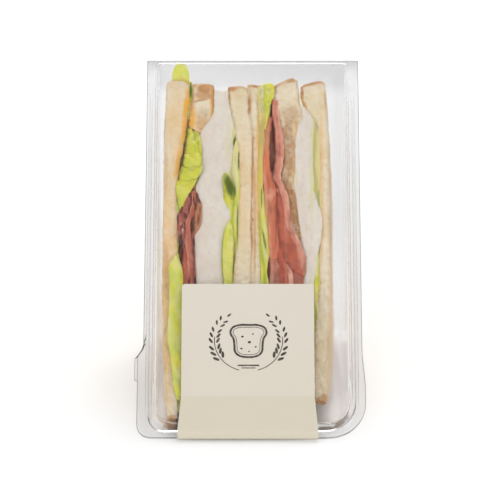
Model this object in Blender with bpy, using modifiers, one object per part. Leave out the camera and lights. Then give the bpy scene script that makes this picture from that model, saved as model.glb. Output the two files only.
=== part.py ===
"""Club sandwich in a shut clear wedge pack: hinged tray and lid, sealing label and two stacked wedges.

The pack stands on one leg of its wedge. Everything is modelled in the frame of the lid's face, which an
empty tilts to 45 degrees: x across the pack, y up the slope of the face and z straight out of it.
"""
import math
from dataclasses import dataclass

import bmesh
import bpy

MM = 0.001
ROOT2 = math.sqrt(2.0)
COLLECTION_NAME = "club_sandwich"
TILT = math.radians(45.0)

# Pack
SLOPE_LENGTH = 183.0 * MM
WALL = 0.5 * MM
FLANGE_LOW = 1.5 * MM
FLANGE_HIGH = 182.4 * MM
FLANGE_LEFT = 46.6 * MM
FLANGE_RIGHT = 47.3 * MM
SKIRT_LEFT = 49.1 * MM
SKIRT_RIGHT = 48.6 * MM
SKIRT_FULL = 21.5 * MM
SKIRT_END = 43.5 * MM
CORNER_LEFT = 6.0 * MM
CORNER_RIGHT = 16.0 * MM
CORNER_TOP = 0.4 * MM
TAB_REACH = 50.3 * MM
TAB_LOW = 27.5 * MM
TAB_HIGH = 38.5 * MM
SIDE_STATIONS = (19.0 * MM, SKIRT_FULL, TAB_LOW, TAB_HIGH, SKIRT_END, 100.0 * MM, 150.0 * MM)
ARC_STEPS = 6

# Tray
OPENING_HALF = 41.2 * MM
OPENING_LOW = 9.0 * MM
OPENING_HIGH = 181.0 * MM
OPENING_CORNER = 9.0 * MM
EDGE_RADIUS = 4.0 * MM
DRAFT = 0.014
HEEL_RADIUS = 7.5 * MM
HEEL_ANGLES = (225.0, 245.0, 262.0)

# Lid
LID_GAP = 0.35 * MM
BEAD_HALVES = (45.4 * MM, 44.6 * MM, 43.8 * MM)
BEAD_LOWS = (2.9 * MM, 3.8 * MM, 4.7 * MM)
BEAD_HIGHS = (182.0 * MM, 181.6 * MM, 181.2 * MM)
BEAD_RISES = (0.0, 0.9 * MM, 0.0)
BEAD_CORNERS = (5.0 * MM, 14.0 * MM, CORNER_TOP)
BEAD_END = 175.0 * MM
BEAD_RUN_OUT = 12.0 * MM
FOOT_HALF = 42.8 * MM
FOOT_LOW = 7.5 * MM
FOOT_HIGH = 180.8 * MM
FOOT_CORNERS = (8.0 * MM, 11.0 * MM, 1.0 * MM)
PANEL_HALF = 41.2 * MM
PANEL_LOW = 19.4 * MM
PANEL_HIGH = 179.3 * MM
PANEL_CORNERS = (8.0 * MM, 10.0 * MM, 1.5 * MM)
PANEL_RISE = 3.0 * MM

# Label
LABEL_LEFT = 30.2 * MM
LABEL_RIGHT = 26.7 * MM
LABEL_FLARE = 1.5 * MM
LABEL_TOP = 71.5 * MM
LABEL_CORNER = 1.4 * MM
LABEL_THICKNESS = 0.2 * MM
LABEL_CLEARANCE = 0.12 * MM
LABEL_ON_BEAD = 0.3 * MM

# Sandwich
STACK_LEFT = -38.9 * MM
LAYER_GAP = 0.35 * MM
CUT_LEVEL = -4.5 * MM
CRUST_LINE = (WALL + 0.3 * MM) * ROOT2
STATIONS = (12.0 * MM, 61.0 * MM, 102.0 * MM, 143.0 * MM, 176.0 * MM)
CELLS_BETWEEN_STATIONS = 3
DEPTHS = (0.0, 8.0 * MM, 16.0 * MM, 28.0 * MM, 42.0 * MM)
CUT_SHARES = (1.0, 0.75, 0.5, 0.2, 0.0)
RIM_WIDTH = 7.0 * MM
RIPPLE_LENGTH = 9.0 * MM
WAVES = 11.0
PHASE_STEP = 1.7
MERGE = 0.001 * MM


@dataclass(frozen=True)
class Kind:
    """What a layer is made of: its look and how uneven its edges are, with lengths in millimetres.

    rim_drop is how far each side of the slice sinks towards its crust, wave the share by which the hidden
    outline draws in, and ripple how far the cut edge stands in and out.
    """

    name: str
    colour: tuple
    roughness: float
    rim_drop: float
    wave: float
    ripple: float


BREAD = Kind("bread", (0.74, 0.62, 0.44, 1.0), 0.85, 1.3, 0.0, 0.0)
LETTUCE = Kind("lettuce", (0.52, 0.62, 0.12, 1.0), 0.45, 0.0, 0.05, 1.0)
BACON = Kind("bacon", (0.42, 0.12, 0.08, 1.0), 0.4, 0.0, 0.07, 0.7)
CHICKEN_MAYO = Kind("chicken_mayo", (0.76, 0.69, 0.60, 1.0), 0.5, 0.0, 0.04, 0.5)


@dataclass(frozen=True)
class Layer:
    """One layer of the stack, in millimetres.

    widths are its room at the five stations from the low tip to the high tip of the cut, and deep is its
    room far behind the cut. low and back are its distances to the two walls that it stands against, radii
    its three corners from low tip over heel to high tip, and proud how far it stands out of the cut.
    """

    name: str
    kind: Kind
    widths: tuple
    deep: float
    low: float
    back: float
    radii: tuple
    proud: float = 0.0


LAYERS = (
    Layer("bread_a1", BREAD, (6.6, 6.4, 6.1, 8.0, 10.6), 9.6, 0.0, 0.0, (16.0, 9.0, 5.0)),
    Layer("lettuce_a1", LETTUCE, (2.5, 2.8, 1.2, 6.0, 0.8), 1.8, 2.5, 1.0, (16.0, 12.0, 4.0), 1.6),
    Layer("bacon_a", BACON, (5.0, 5.6, 8.0, 1.4, 0.8), 3.2, 9.0, 12.0, (12.0, 12.0, 12.0), 0.8),
    Layer("bread_a2", BREAD, (8.2, 8.1, 7.4, 7.2, 10.3), 9.3, 0.8, 2.0, (16.0, 9.0, 6.0), -0.4),
    Layer("chicken_mayo_a", CHICKEN_MAYO, (4.5, 4.4, 4.0, 7.0, 5.9), 3.9, 5.0, 4.0, (12.0, 12.0, 6.0), 0.9),
    Layer("lettuce_a2", LETTUCE, (4.9, 4.8, 6.0, 3.4, 0.9), 1.9, 4.0, 6.0, (14.0, 12.0, 8.0), 1.2),
    Layer("bread_a3", BREAD, (7.0, 6.4, 6.3, 6.2, 8.2), 9.0, 0.8, 2.4, (16.0, 10.0, 6.0), -0.2),
    Layer("bread_b1", BREAD, (4.8, 4.6, 3.9, 4.0, 7.1), 9.0, 1.6, 2.0, (16.0, 14.0, 6.0), 0.2),
    Layer("lettuce_b1", LETTUCE, (2.6, 3.0, 2.7, 1.4, 4.0), 1.5, 4.0, 2.5, (14.0, 14.0, 6.0), 1.0),
    Layer("bacon_b", BACON, (7.8, 9.8, 9.0, 7.8, 0.8), 3.4, 8.0, 7.0, (12.0, 14.0, 10.0), 1.4),
    Layer("bread_b2", BREAD, (6.9, 5.6, 5.0, 5.6, 10.3), 9.1, 2.4, 0.0, (16.0, 14.0, 5.0), -0.3),
    Layer("chicken_mayo_b", CHICKEN_MAYO, (4.5, 4.2, 8.2, 6.9, 1.2), 3.2, 6.0, 8.0, (12.0, 14.0, 10.0), 0.9),
    Layer("lettuce_b2", LETTUCE, (1.5, 1.9, 1.2, 2.4, 1.0), 1.3, 5.0, 6.0, (14.0, 14.0, 8.0), 0.5),
    Layer("bread_b3", BREAD, (5.8, 5.4, 5.1, 5.3, 10.6), 9.4, 5.0, 0.5, (18.0, 14.0, 5.0)),
)


def clear_scene():
    """Remove every object that the file starts with."""
    for obj in list(bpy.data.objects):
        bpy.data.objects.remove(obj, do_unlink=True)


def principled(name, colour, roughness, transmission=0.0):
    """Return a Principled material of one colour."""
    material = bpy.data.materials.new(name)
    material.use_nodes = True
    shader = material.node_tree.nodes["Principled BSDF"]
    shader.inputs["Base Color"].default_value = colour
    shader.inputs["Roughness"].default_value = roughness
    shader.inputs["Metallic"].default_value = 0.0
    shader.inputs["Transmission Weight"].default_value = transmission
    return material


def add_object(name, shape, material, collection, parent):
    """Turn a bmesh into a named object of the collection, standing on the tilted face frame."""
    bmesh.ops.recalc_face_normals(shape, faces=shape.faces)
    mesh = bpy.data.meshes.new(name)
    shape.to_mesh(mesh)
    shape.free()
    mesh.materials.append(material)
    obj = bpy.data.objects.new(name, mesh)
    obj.parent = parent
    collection.objects.link(obj)
    return obj


def add_solidify(obj, thickness, offset):
    """Give a sheet its thickness, on the side of its normals for offset 1 and behind them for -1."""
    modifier = obj.modifiers.new("Wall", "SOLIDIFY")
    modifier.thickness = thickness
    modifier.offset = offset
    modifier.use_even_offset = True
    modifier.use_quality_normals = True


def smoothstep(value):
    """Return the smooth step of a value between 0 and 1."""
    value = min(max(value, 0.0), 1.0)
    return value * value * (3.0 - 2.0 * value)


def interpolate(places, values, place):
    """Return the value at a place, read along straight runs between the given places."""
    for low, high, start, end in zip(places, places[1:], values, values[1:]):
        if place <= high:
            share = max(place - low, 0.0) / (high - low)
            return start + (end - start) * share
    return values[-1]


def arc(centre, radius, start, end, steps=ARC_STEPS):
    """Return the points of an arc between two angles in degrees, both ends included."""
    points = []
    for step in range(steps + 1):
        angle = math.radians(start + (end - start) * step / steps)
        points.append((centre[0] + radius * math.cos(angle), centre[1] + radius * math.sin(angle)))
    return points


def flange_left(place):
    """Return the reach of the flange's left edge at a height up the slope."""
    skirt = smoothstep((SKIRT_END - place) / (SKIRT_END - TAB_HIGH))
    return FLANGE_LEFT + (SKIRT_LEFT - FLANGE_LEFT) * skirt


def flange_right(place):
    """Return the reach of the flange's right edge at a height up the slope."""
    skirt = smoothstep((SKIRT_END - place) / (SKIRT_END - SKIRT_FULL))
    return FLANGE_RIGHT + (SKIRT_RIGHT - FLANGE_RIGHT) * skirt


def tab_left(place):
    """Return the reach of the lid's left edge, which widens into the opening tab."""
    if TAB_LOW <= place <= TAB_HIGH:
        return TAB_REACH
    return flange_left(place)


def side_places(base, end):
    """Return the heights of the points along a ring's long sides, always the same number of them."""
    run = SIDE_STATIONS[-1] - SIDE_STATIONS[0]
    margin = 0.05 * (end - base)
    places = []
    for station in SIDE_STATIONS:
        share = (station - SIDE_STATIONS[0]) / run
        spread = base + margin + (end - base - 2.0 * margin) * share
        places.append(station if base < station < end else spread)
    return sorted(places)


def ring(left, right, low, high, radii, level):
    """Return one closed ring of a moulded sheet.

    left and right give the reach of the two long edges at a height, and radii are those of the low left,
    the low right and the two high corners.
    """
    low_left, low_right, top = radii
    places = side_places(low + max(low_left, low_right), high - top)
    outline = arc((low_left - left(low), low + low_left), low_left, 180.0, 270.0)
    outline += arc((right(low) - low_right, low + low_right), low_right, 270.0, 360.0)
    outline += [(right(place), place) for place in places]
    outline += arc((right(high) - top, high - top), top, 0.0, 90.0)
    outline += arc((top - left(high), high - top), top, 90.0, 180.0)
    outline += [(-left(place), place) for place in reversed(places)]
    return [(x, y, level) for x, y in outline]


def straight_ring(half, low, high, radii, level):
    """Return a ring whose two long edges are straight and lie the same way out."""
    return ring(lambda place: half, lambda place: half, low, high, radii, level)


def loft(rings):
    """Return a bmesh of a sheet that runs through the rings and is closed by a flat face at the last."""
    sheet = bmesh.new()
    loops = [[sheet.verts.new(point) for point in points] for points in rings]
    for outer, inner in zip(loops, loops[1:]):
        count = len(outer)
        for index in range(count):
            following = (index + 1) % count
            sheet.faces.new((outer[index], outer[following], inner[following], inner[index]))
    sheet.faces.new(loops[-1])
    return sheet


def tray_section(level, radii):
    """Return the ring of the tray's inner surface at a level below the flange."""
    wall_line = WALL * ROOT2
    half = OPENING_HALF + DRAFT * level
    low = max(OPENING_LOW, wall_line - level)
    high = min(OPENING_HIGH, SLOPE_LENGTH - wall_line + level)
    return straight_ring(half, low, high, radii, level)


def tray_rings():
    """Return the rings of the tray's inner surface, from the flange's edge down to the rounded heel."""
    wall_line = WALL * ROOT2
    floor_start = wall_line - OPENING_LOW
    back_start = OPENING_HIGH + wall_line - SLOPE_LENGTH
    mouth = (OPENING_CORNER, OPENING_CORNER, EDGE_RADIUS / 2.0)
    edges = (EDGE_RADIUS, EDGE_RADIUS, EDGE_RADIUS)
    flange = (CORNER_LEFT, CORNER_RIGHT, CORNER_TOP)
    rings = [
        ring(flange_left, flange_right, FLANGE_LOW, FLANGE_HIGH, flange, 0.0),
        tray_section(0.0, mouth),
        tray_section(back_start, mouth),
        tray_section(floor_start, mouth),
        tray_section(2.0 * floor_start, edges),
    ]
    middle = SLOPE_LENGTH / 2.0
    centre = wall_line - middle + HEEL_RADIUS * ROOT2
    for angle in HEEL_ANGLES:
        reach = -HEEL_RADIUS * math.cos(math.radians(angle))
        level = centre + HEEL_RADIUS * math.sin(math.radians(angle))
        radius = min(EDGE_RADIUS, reach * 0.6)
        half = OPENING_HALF + DRAFT * level
        rings.append(straight_ring(half, middle - reach, middle + reach, (radius, radius, radius), level))
    return rings


def lid_rings():
    """Return the rings of the lid's inner surface, from its edge over the snap bead to the raised panel."""
    corners = (CORNER_LEFT, CORNER_RIGHT, CORNER_TOP)
    rings = [ring(tab_left, flange_right, FLANGE_LOW, FLANGE_HIGH, corners, LID_GAP)]
    for half, low, high, rise in zip(BEAD_HALVES, BEAD_LOWS, BEAD_HIGHS, BEAD_RISES):
        flat = straight_ring(half, low, high, BEAD_CORNERS, LID_GAP)
        rings.append([(x, y, z + rise * smoothstep((BEAD_END - y) / BEAD_RUN_OUT)) for x, y, z in flat])
    rings.append(straight_ring(FOOT_HALF, FOOT_LOW, FOOT_HIGH, FOOT_CORNERS, LID_GAP))
    rings.append(straight_ring(PANEL_HALF, PANEL_LOW, PANEL_HIGH, PANEL_CORNERS, LID_GAP + PANEL_RISE))
    return rings


def build_pack(collection, parent):
    """Add the tray, which thickens outwards and down, and the lid, which thickens outwards and up."""
    clear = principled("clear_plastic", (0.86, 0.87, 0.88, 1.0), 0.06, 0.9)
    tray = add_object("tray", loft(tray_rings()), clear, collection, parent)
    add_solidify(tray, WALL, -1.0)
    lid = add_object("lid", loft(lid_rings()), clear, collection, parent)
    add_solidify(lid, WALL, 1.0)


def label_path():
    """Return the label's side line as heights up the slope and levels, from its top to its folded lip."""
    resting = LID_GAP + WALL + LABEL_CLEARANCE
    panel = resting + PANEL_RISE
    edge = FLANGE_LOW - LABEL_CLEARANCE
    return (
        (LABEL_TOP, panel),
        (LABEL_TOP - LABEL_CORNER, panel),
        (PANEL_LOW - 0.2 * MM, panel),
        (BEAD_LOWS[1], resting + BEAD_RISES[1] + LABEL_ON_BEAD),
        ((BEAD_LOWS[1] + edge) / 2.0, resting + LABEL_ON_BEAD),
        (edge, resting),
        (edge, -WALL),
    )


def build_label(collection, parent):
    """Add the paper label that lies over the lid and folds down over the low edge of the flange."""
    sheet = bmesh.new()
    rows = []
    for place, level in label_path():
        flare = LABEL_FLARE * smoothstep((PANEL_LOW - place) / (PANEL_LOW - FLANGE_LOW))
        inset = LABEL_CORNER if place == LABEL_TOP else 0.0
        left = inset - flare - LABEL_LEFT
        right = LABEL_RIGHT + flare - inset
        rows.append([sheet.verts.new((x, place, level)) for x in (left, right)])
    for upper, lower in zip(rows, rows[1:]):
        sheet.faces.new((upper[0], lower[0], lower[1], upper[1]))
    paper = principled("label_paper", (0.74, 0.69, 0.58, 1.0), 0.6)
    label = add_object("label", sheet, paper, collection, parent)
    add_solidify(label, LABEL_THICKNESS, 1.0)


def layer_outline(layer):
    """Return the half-square outline of a layer in the plane of the slice, with its corners rounded."""
    low = CRUST_LINE + layer.low * MM * ROOT2
    back = SLOPE_LENGTH - CRUST_LINE - layer.back * MM * ROOT2
    tip_low, heel, tip_high = (radius * MM for radius in layer.radii)
    points = arc((low - CUT_LEVEL + tip_low * ROOT2, CUT_LEVEL), tip_low, 180.0, 225.0, 4)
    points += arc(((low + back) / 2.0, (low - back) / 2.0 + heel * ROOT2), heel, 225.0, 315.0, 5)
    points += arc((back + CUT_LEVEL - tip_high * ROOT2, CUT_LEVEL), tip_high, 315.0, 360.0, 3)
    return points


def crust_distance(layer, place, level):
    """Return how far a point of the slice lies inside its crust."""
    side = (SLOPE_LENGTH - 2.0 * CRUST_LINE) / ROOT2 - (layer.low + layer.back) * MM
    from_low = (place + level - CRUST_LINE) / ROOT2 - layer.low * MM
    from_back = (SLOPE_LENGTH - CRUST_LINE - place + level) / ROOT2 - layer.back * MM
    if from_low > side / 2.0:
        radius, across, along = layer.radii[2] * MM, side - from_low, from_back
    elif from_back > side / 2.0:
        radius, across, along = layer.radii[0] * MM, from_low, side - from_back
    else:
        radius, across, along = layer.radii[1] * MM, from_low, from_back
    if across < radius and along < radius:
        return radius - math.hypot(radius - across, radius - along)
    return min(across, along)


def stack_face(index, place, level):
    """Return where the left face of the layer of this index runs, at a point of the slice."""
    cut_share = interpolate(DEPTHS, CUT_SHARES, max(CUT_LEVEL - level, 0.0))
    position = STACK_LEFT
    for layer in LAYERS[:index]:
        at_cut = interpolate(STATIONS, layer.widths, place)
        position += (at_cut * cut_share + layer.deep * (1.0 - cut_share)) * MM
    return position


def split_planes(layer):
    """Return the points and normals of the planes that divide a layer's outline into cells."""
    planes = []
    for low, high in zip(STATIONS, STATIONS[1:]):
        for step in range(CELLS_BETWEEN_STATIONS):
            place = low + (high - low) * step / CELLS_BETWEEN_STATIONS
            planes.append(((0.0, place, 0.0), (0.0, 1.0, 0.0)))
    for depth in DEPTHS[1:]:
        planes.append(((0.0, 0.0, CUT_LEVEL - depth), (0.0, 0.0, 1.0)))
    if layer.kind.rim_drop > 0.0:
        low = CRUST_LINE + (layer.low * MM + RIM_WIDTH) * ROOT2
        back = SLOPE_LENGTH - CRUST_LINE - (layer.back * MM + RIM_WIDTH) * ROOT2
        planes.append(((0.0, low, 0.0), (0.0, 1.0, 1.0)))
        planes.append(((0.0, back, 0.0), (0.0, 1.0, -1.0)))
    return planes


def weave_edge(layer, phase, vertex):
    """Make a filling's edge uneven: it ripples along the cut and draws in by waves along the walls."""
    if vertex.co.z > CUT_LEVEL - MERGE:
        ripple = layer.kind.ripple * math.sin(vertex.co.y / RIPPLE_LENGTH + phase)
        vertex.co.z += (layer.proud + ripple) * MM
    elif vertex.is_boundary:
        middle = SLOPE_LENGTH / 2.0
        angle = math.atan2(vertex.co.z - CUT_LEVEL, vertex.co.y - middle)
        draw_in = 1.0 - layer.kind.wave * (0.5 + 0.5 * math.sin(WAVES * angle + phase))
        vertex.co.y = middle + (vertex.co.y - middle) * draw_in
        vertex.co.z = CUT_LEVEL + (vertex.co.z - CUT_LEVEL) * draw_in


def layer_sheet(layer, index):
    """Return a layer's flat outline cut into cells, whose vertices remember their place in the slice."""
    sheet = bmesh.new()
    sheet.faces.new([sheet.verts.new((0.0, place, level)) for place, level in layer_outline(layer)])
    for point, normal in split_planes(layer):
        everything = list(sheet.verts) + list(sheet.edges) + list(sheet.faces)
        bmesh.ops.bisect_plane(sheet, geom=everything, plane_co=point, plane_no=normal, dist=MERGE)
    place_of = sheet.verts.layers.float.new("place")
    level_of = sheet.verts.layers.float.new("level")
    for vertex in sheet.verts:
        vertex[place_of] = vertex.co.y
        vertex[level_of] = vertex.co.z
        weave_edge(layer, index * PHASE_STEP, vertex)
    return sheet, place_of, level_of


def build_layer(index, layer, material, collection, parent):
    """Add one layer: its outline drawn out between its two faces in the stack."""
    slab, place_of, level_of = layer_sheet(layer, index)
    drawn = bmesh.ops.extrude_face_region(slab, geom=list(slab.faces), use_keep_orig=True)
    right_side = {item for item in drawn["geom"] if isinstance(item, bmesh.types.BMVert)}
    for vertex in slab.verts:
        place, level = vertex[place_of], vertex[level_of]
        inside = min(crust_distance(layer, place, level) / RIM_WIDTH, 1.0)
        drop = layer.kind.rim_drop * MM * (1.0 - inside) ** 2
        if vertex in right_side:
            vertex.co.x = stack_face(index + 1, place, level) - LAYER_GAP - drop
        else:
            vertex.co.x = stack_face(index, place, level) + drop
    add_object(layer.name, slab, material, collection, parent)


def build_sandwich(collection, parent):
    """Add every layer of the two wedges, from the left wall of the pack to the right."""
    kinds = (BREAD, LETTUCE, BACON, CHICKEN_MAYO)
    materials = {kind.name: principled(kind.name, kind.colour, kind.roughness) for kind in kinds}
    for index, layer in enumerate(LAYERS):
        build_layer(index, layer, materials[layer.kind.name], collection, parent)


def main():
    """Build the whole pack with its contents, centred over the origin and standing on one leg."""
    clear_scene()
    collection = bpy.data.collections.new(COLLECTION_NAME)
    bpy.context.scene.collection.children.link(collection)
    face = bpy.data.objects.new("face_frame", None)
    face.rotation_euler = (TILT, 0.0, 0.0)
    face.location = ((TAB_REACH - SKIRT_RIGHT) / 2.0, -SLOPE_LENGTH / ROOT2 / 2.0, 0.0)
    collection.objects.link(face)
    build_pack(collection, face)
    build_label(collection, face)
    build_sandwich(collection, face)


main()
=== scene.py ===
"""Looks of a club sandwich in its shut clear wedge pack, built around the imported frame.

Unless a name says otherwise, lengths are in millimetres in the frame of the pack's sloping face: x runs
across the pack, v up the slope from its low edge, and n straight out of the face towards the shopper.
"""

import logging
import math
from collections.abc import Callable, Sequence
from dataclasses import dataclass
from enum import Enum

import bmesh
import bpy
import numpy as np
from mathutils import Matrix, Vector, noise


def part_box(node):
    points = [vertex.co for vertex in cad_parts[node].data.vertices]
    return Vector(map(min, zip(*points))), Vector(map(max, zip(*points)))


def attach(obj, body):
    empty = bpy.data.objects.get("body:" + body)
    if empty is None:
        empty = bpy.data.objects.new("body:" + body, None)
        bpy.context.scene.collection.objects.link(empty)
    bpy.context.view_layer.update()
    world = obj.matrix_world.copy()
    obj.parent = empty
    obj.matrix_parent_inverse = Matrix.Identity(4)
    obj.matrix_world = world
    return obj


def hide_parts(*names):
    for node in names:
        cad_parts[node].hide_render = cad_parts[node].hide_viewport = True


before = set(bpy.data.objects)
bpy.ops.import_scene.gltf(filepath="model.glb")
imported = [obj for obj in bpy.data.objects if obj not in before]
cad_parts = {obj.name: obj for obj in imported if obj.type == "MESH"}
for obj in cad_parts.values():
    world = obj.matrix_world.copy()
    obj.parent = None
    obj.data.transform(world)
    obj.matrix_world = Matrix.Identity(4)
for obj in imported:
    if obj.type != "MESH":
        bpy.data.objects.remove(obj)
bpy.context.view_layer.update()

LOG = logging.getLogger("club_sandwich")
BODY = "root"
MM = 0.001
ROOT2 = math.sqrt(2.0)

SLOPE_LENGTH = 183.0
WALL = 0.5
SKIRT_RIGHT = 48.6
CUT_LEVEL = -4.5
CRUST_LINE = (WALL + 0.3) * ROOT2
LAYER_GAP = 0.35

Array = np.ndarray
Masks = dict[str, Array]
Point = tuple[float, float]
Triple = tuple[float, float, float]
Colour = tuple[float, float, float, float]
Socket = bpy.types.NodeSocket
Material = bpy.types.Material
Reach = Callable[[Array | float], Array | float]


class Food(Enum):
    """What a layer of the sandwich is made of."""

    BREAD = "bread"
    LETTUCE = "lettuce"
    BACON = "bacon"
    CHICKEN_MAYO = "chicken_mayo"


# Some masks also carry painted light: deep, dark and shade paint shade into folds, gaps and hollows, and fat
# paints a few highlights.
MASKS = {
    Food.BREAD: ("crust", "butter", "soak"),
    Food.LETTUCE: ("green", "deep", "golden"),
    Food.BACON: ("fat", "dark", "glow", "seared"),
    Food.CHICKEN_MAYO: ("tint", "lean", "shade"),
}


# ---------------------------------------------------------------- lines, noise and meshes


def smooth(value: Array | float) -> Array:
    """Return the smooth step of values between 0 and 1.

    Args:
        value: One number or an array of them.

    Returns:
        The stepped values, held at 0 and 1 outside the range.
    """
    held = np.clip(value, 0.0, 1.0)
    return held * held * (3.0 - 2.0 * held)


def spread(x: Array | float, v: Array, n: Array | float) -> Array:
    """Return points from their coordinates, each of them spread to the shape of all."""
    return np.stack(np.broadcast_arrays(x, v, n), -1)


class Curve:
    """A smooth line through chosen places that never overshoots between them."""

    def __init__(self, places: Sequence[float], values: Sequence[float]) -> None:
        """Work out the slope at each place.

        Args:
            places: Where the values stand, in either order.
            values: One value for each place.
        """
        order = np.argsort(places)
        self.places = np.asarray(places, float)[order]
        self.values = np.asarray(values, float)[order]
        secants = np.diff(self.values) / np.diff(self.places)
        before = np.concatenate((secants[:1], secants))
        after = np.concatenate((secants, secants[-1:]))
        same = before * after > 0.0
        total = np.where(same, before + after, 1.0)
        self.slopes = np.where(same, 2.0 * before * after / total, 0.0)

    @classmethod
    def through(cls, points: Sequence[Point]) -> "Curve":
        """Return the line through these pairs of a place and its value."""
        return cls([point[0] for point in points], [point[1] for point in points])

    def __call__(self, at: Array | float) -> Array:
        """Return the line's values at these places, held at its ends.

        Args:
            at: The places.

        Returns:
            One value for each place.
        """
        held = np.clip(at, self.places[0], self.places[-1])
        index = np.clip(np.searchsorted(self.places, held) - 1, 0, len(self.places) - 2)
        run = self.places[index + 1] - self.places[index]
        share = (held - self.places[index]) / run
        square, cube = share ** 2, share ** 3
        return (
            (2.0 * cube - 3.0 * square + 1.0) * self.values[index]
            + (cube - 2.0 * square + share) * run * self.slopes[index]
            + (3.0 * square - 2.0 * cube) * self.values[index + 1]
            + (cube - square) * run * self.slopes[index + 1]
        )


def lumps(points: Array, size: Sequence[float] | float, octaves: int = 3, seed: float = 0.0) -> Array:
    """Return smooth noise from about -1 to 1.

    Args:
        points: Points of any shape with three coordinates at the end.
        size: How long a lump is, for all or for each direction.
        octaves: How many finer layers are added.
        seed: Moves to another part of the noise.

    Returns:
        One value for each point.
    """
    places = (points / np.asarray(size, float) + seed).reshape(-1, 3).tolist()
    values = [noise.fractal(place, 1.0, 2.0, octaves) for place in places]
    return np.array(values).reshape(points.shape[:-1])


def pores(points: Array, size: float, reach: float, seed: float = 0.0) -> Array:
    """Return round hollows, from 0 between them to 1 at the middle of each.

    Args:
        points: Points of any shape with three coordinates at the end.
        size: Distance from one hollow to the next.
        reach: Radius of the largest hollows, as a share of the size.
        seed: Moves to another part of the pattern.

    Returns:
        One value for each point.
    """
    places = (points / size + seed).reshape(-1, 3).tolist()
    values = []
    for place in places:
        distances, centres = noise.voronoi(place)
        radius = reach * (0.35 + 0.65 * noise.cell(centres[0] * 7.3))
        values.append(1.0 - distances[0] / radius)
    return smooth(np.array(values).reshape(points.shape[:-1]))


@dataclass(frozen=True)
class Face:
    """The frame of the pack's sloping face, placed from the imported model."""

    x: float
    y: float

    @classmethod
    def from_model(cls) -> "Face":
        """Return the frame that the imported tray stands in."""
        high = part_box("tray")[1]
        return cls(high.x / MM - SKIRT_RIGHT, high.y / MM - SLOPE_LENGTH / ROOT2)

    def world(self, points: Array) -> Array:
        """Return face points as world points in metres.

        Args:
            points: Array of face points.

        Returns:
            Array of world points.
        """
        x, v, n = points[..., 0], points[..., 1], points[..., 2]
        world = np.stack((self.x + x, self.y + (v - n) / ROOT2, (v + n) / ROOT2), axis=-1)
        return world * MM


class Skin:
    """The closed shells of one piece while it is being built, with the masks that its finish reads."""

    def __init__(self, mask_names: Sequence[str] = ()) -> None:
        """Start an empty piece whose vertices carry these masks.

        Args:
            mask_names: Names of the masks.
        """
        self.mask_names = tuple(mask_names)
        self.points: list[Array] = []
        self.faces: list[Sequence[int]] = []
        self.masks: dict[str, list[Array]] = {name: [] for name in self.mask_names}
        self.count = 0

    def add(self, points: Array, faces: Sequence[Sequence[int]], masks: Masks | None = None) -> None:
        """Add points and faces that count from the first of them.

        Args:
            points: Array of face points.
            faces: Vertex numbers of each face.
            masks: Values for each point, 0 where a mask isn't given.
        """
        masks = masks or {}
        self.points.append(points)
        self.faces.extend([[index + self.count for index in face] for face in faces])
        for name in self.mask_names:
            self.masks[name].append(masks.get(name, np.zeros(len(points))))
        self.count += len(points)

    def add_loft(
            self, rings: Array, masks: Masks | None = None, cap: Sequence[Sequence[int]] | None = None,
    ) -> None:
        """Add a shell that runs through closed rings and is capped at both ends.

        Args:
            rings: Its rings of points.
            masks: Arrays of rings by points.
            cap: Faces that close a ring, as places in it, where one face across it won't do.
        """
        rows, count = rings.shape[:2]
        first = np.arange(rows - 1)[:, None] * count
        index = np.arange(count)[None, :]
        following = first + (index + 1) % count
        quads = np.stack((first + index, following, following + count, first + index + count), -1)
        faces = quads.reshape(-1, 4).tolist()
        last = (rows - 1) * count
        for face in cap or [list(range(count))]:
            faces.append(list(face)[::-1])
            faces.append([place + last for place in face])
        flat = {name: values.reshape(-1) for name, values in (masks or {}).items()}
        self.add(rings.reshape(-1, 3), faces, flat)

    def piece(self, name: str, face: Face, material: Material, sharp: float = 180.0) -> bpy.types.Object:
        """Make the object and link it to the scene.

        Args:
            name: Name of the piece.
            face: Frame that its points are in.
            material: Its finish.
            sharp: Angle in degrees above which an edge stays sharp.

        Returns:
            The new object, standing at the origin with its place in its mesh.
        """
        mesh = bpy.data.meshes.new(name)
        mesh.from_pydata(face.world(np.concatenate(self.points)).tolist(), [], self.faces)
        for mask in self.mask_names:
            layer = mesh.attributes.new(mask, "FLOAT", "POINT")
            layer.data.foreach_set("value", np.concatenate(self.masks[mask]).astype(np.float32))
        shape = bmesh.new()
        shape.from_mesh(mesh)
        bmesh.ops.recalc_face_normals(shape, faces=shape.faces)
        shape.to_mesh(mesh)
        shape.free()
        mesh.shade_smooth()
        if sharp < 180.0:
            mesh.set_sharp_from_angle(angle=math.radians(sharp))
        mesh.materials.append(material)
        obj = bpy.data.objects.new(name, mesh)
        bpy.context.scene.collection.objects.link(obj)
        return obj


def hand_over(piece: bpy.types.Object, slot: str, *nodes: str) -> None:
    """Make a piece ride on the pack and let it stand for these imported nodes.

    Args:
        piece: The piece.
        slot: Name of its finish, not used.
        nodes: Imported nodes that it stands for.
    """
    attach(piece, BODY)
    if nodes:
        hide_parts(*nodes)
    LOG.info("%s: %d faces", piece.name, len(piece.data.polygons))


# ---------------------------------------------------------------- shader helpers and shared effects


def paint(red: int, green: int, blue: int) -> Colour:
    """Return a colour given on the usual scale to 255 as the linear values that shaders take.

    Args:
        red: Share of red.
        green: Share of green.
        blue: Share of blue.

    Returns:
        Red, green, blue and alpha, from 0 to 1.
    """
    linear = []
    for value in (red, green, blue):
        share = value / 255.0
        linear.append(share / 12.92 if share <= 0.04045 else ((share + 0.055) / 1.055) ** 2.4)
    return linear[0], linear[1], linear[2], 1.0


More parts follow.
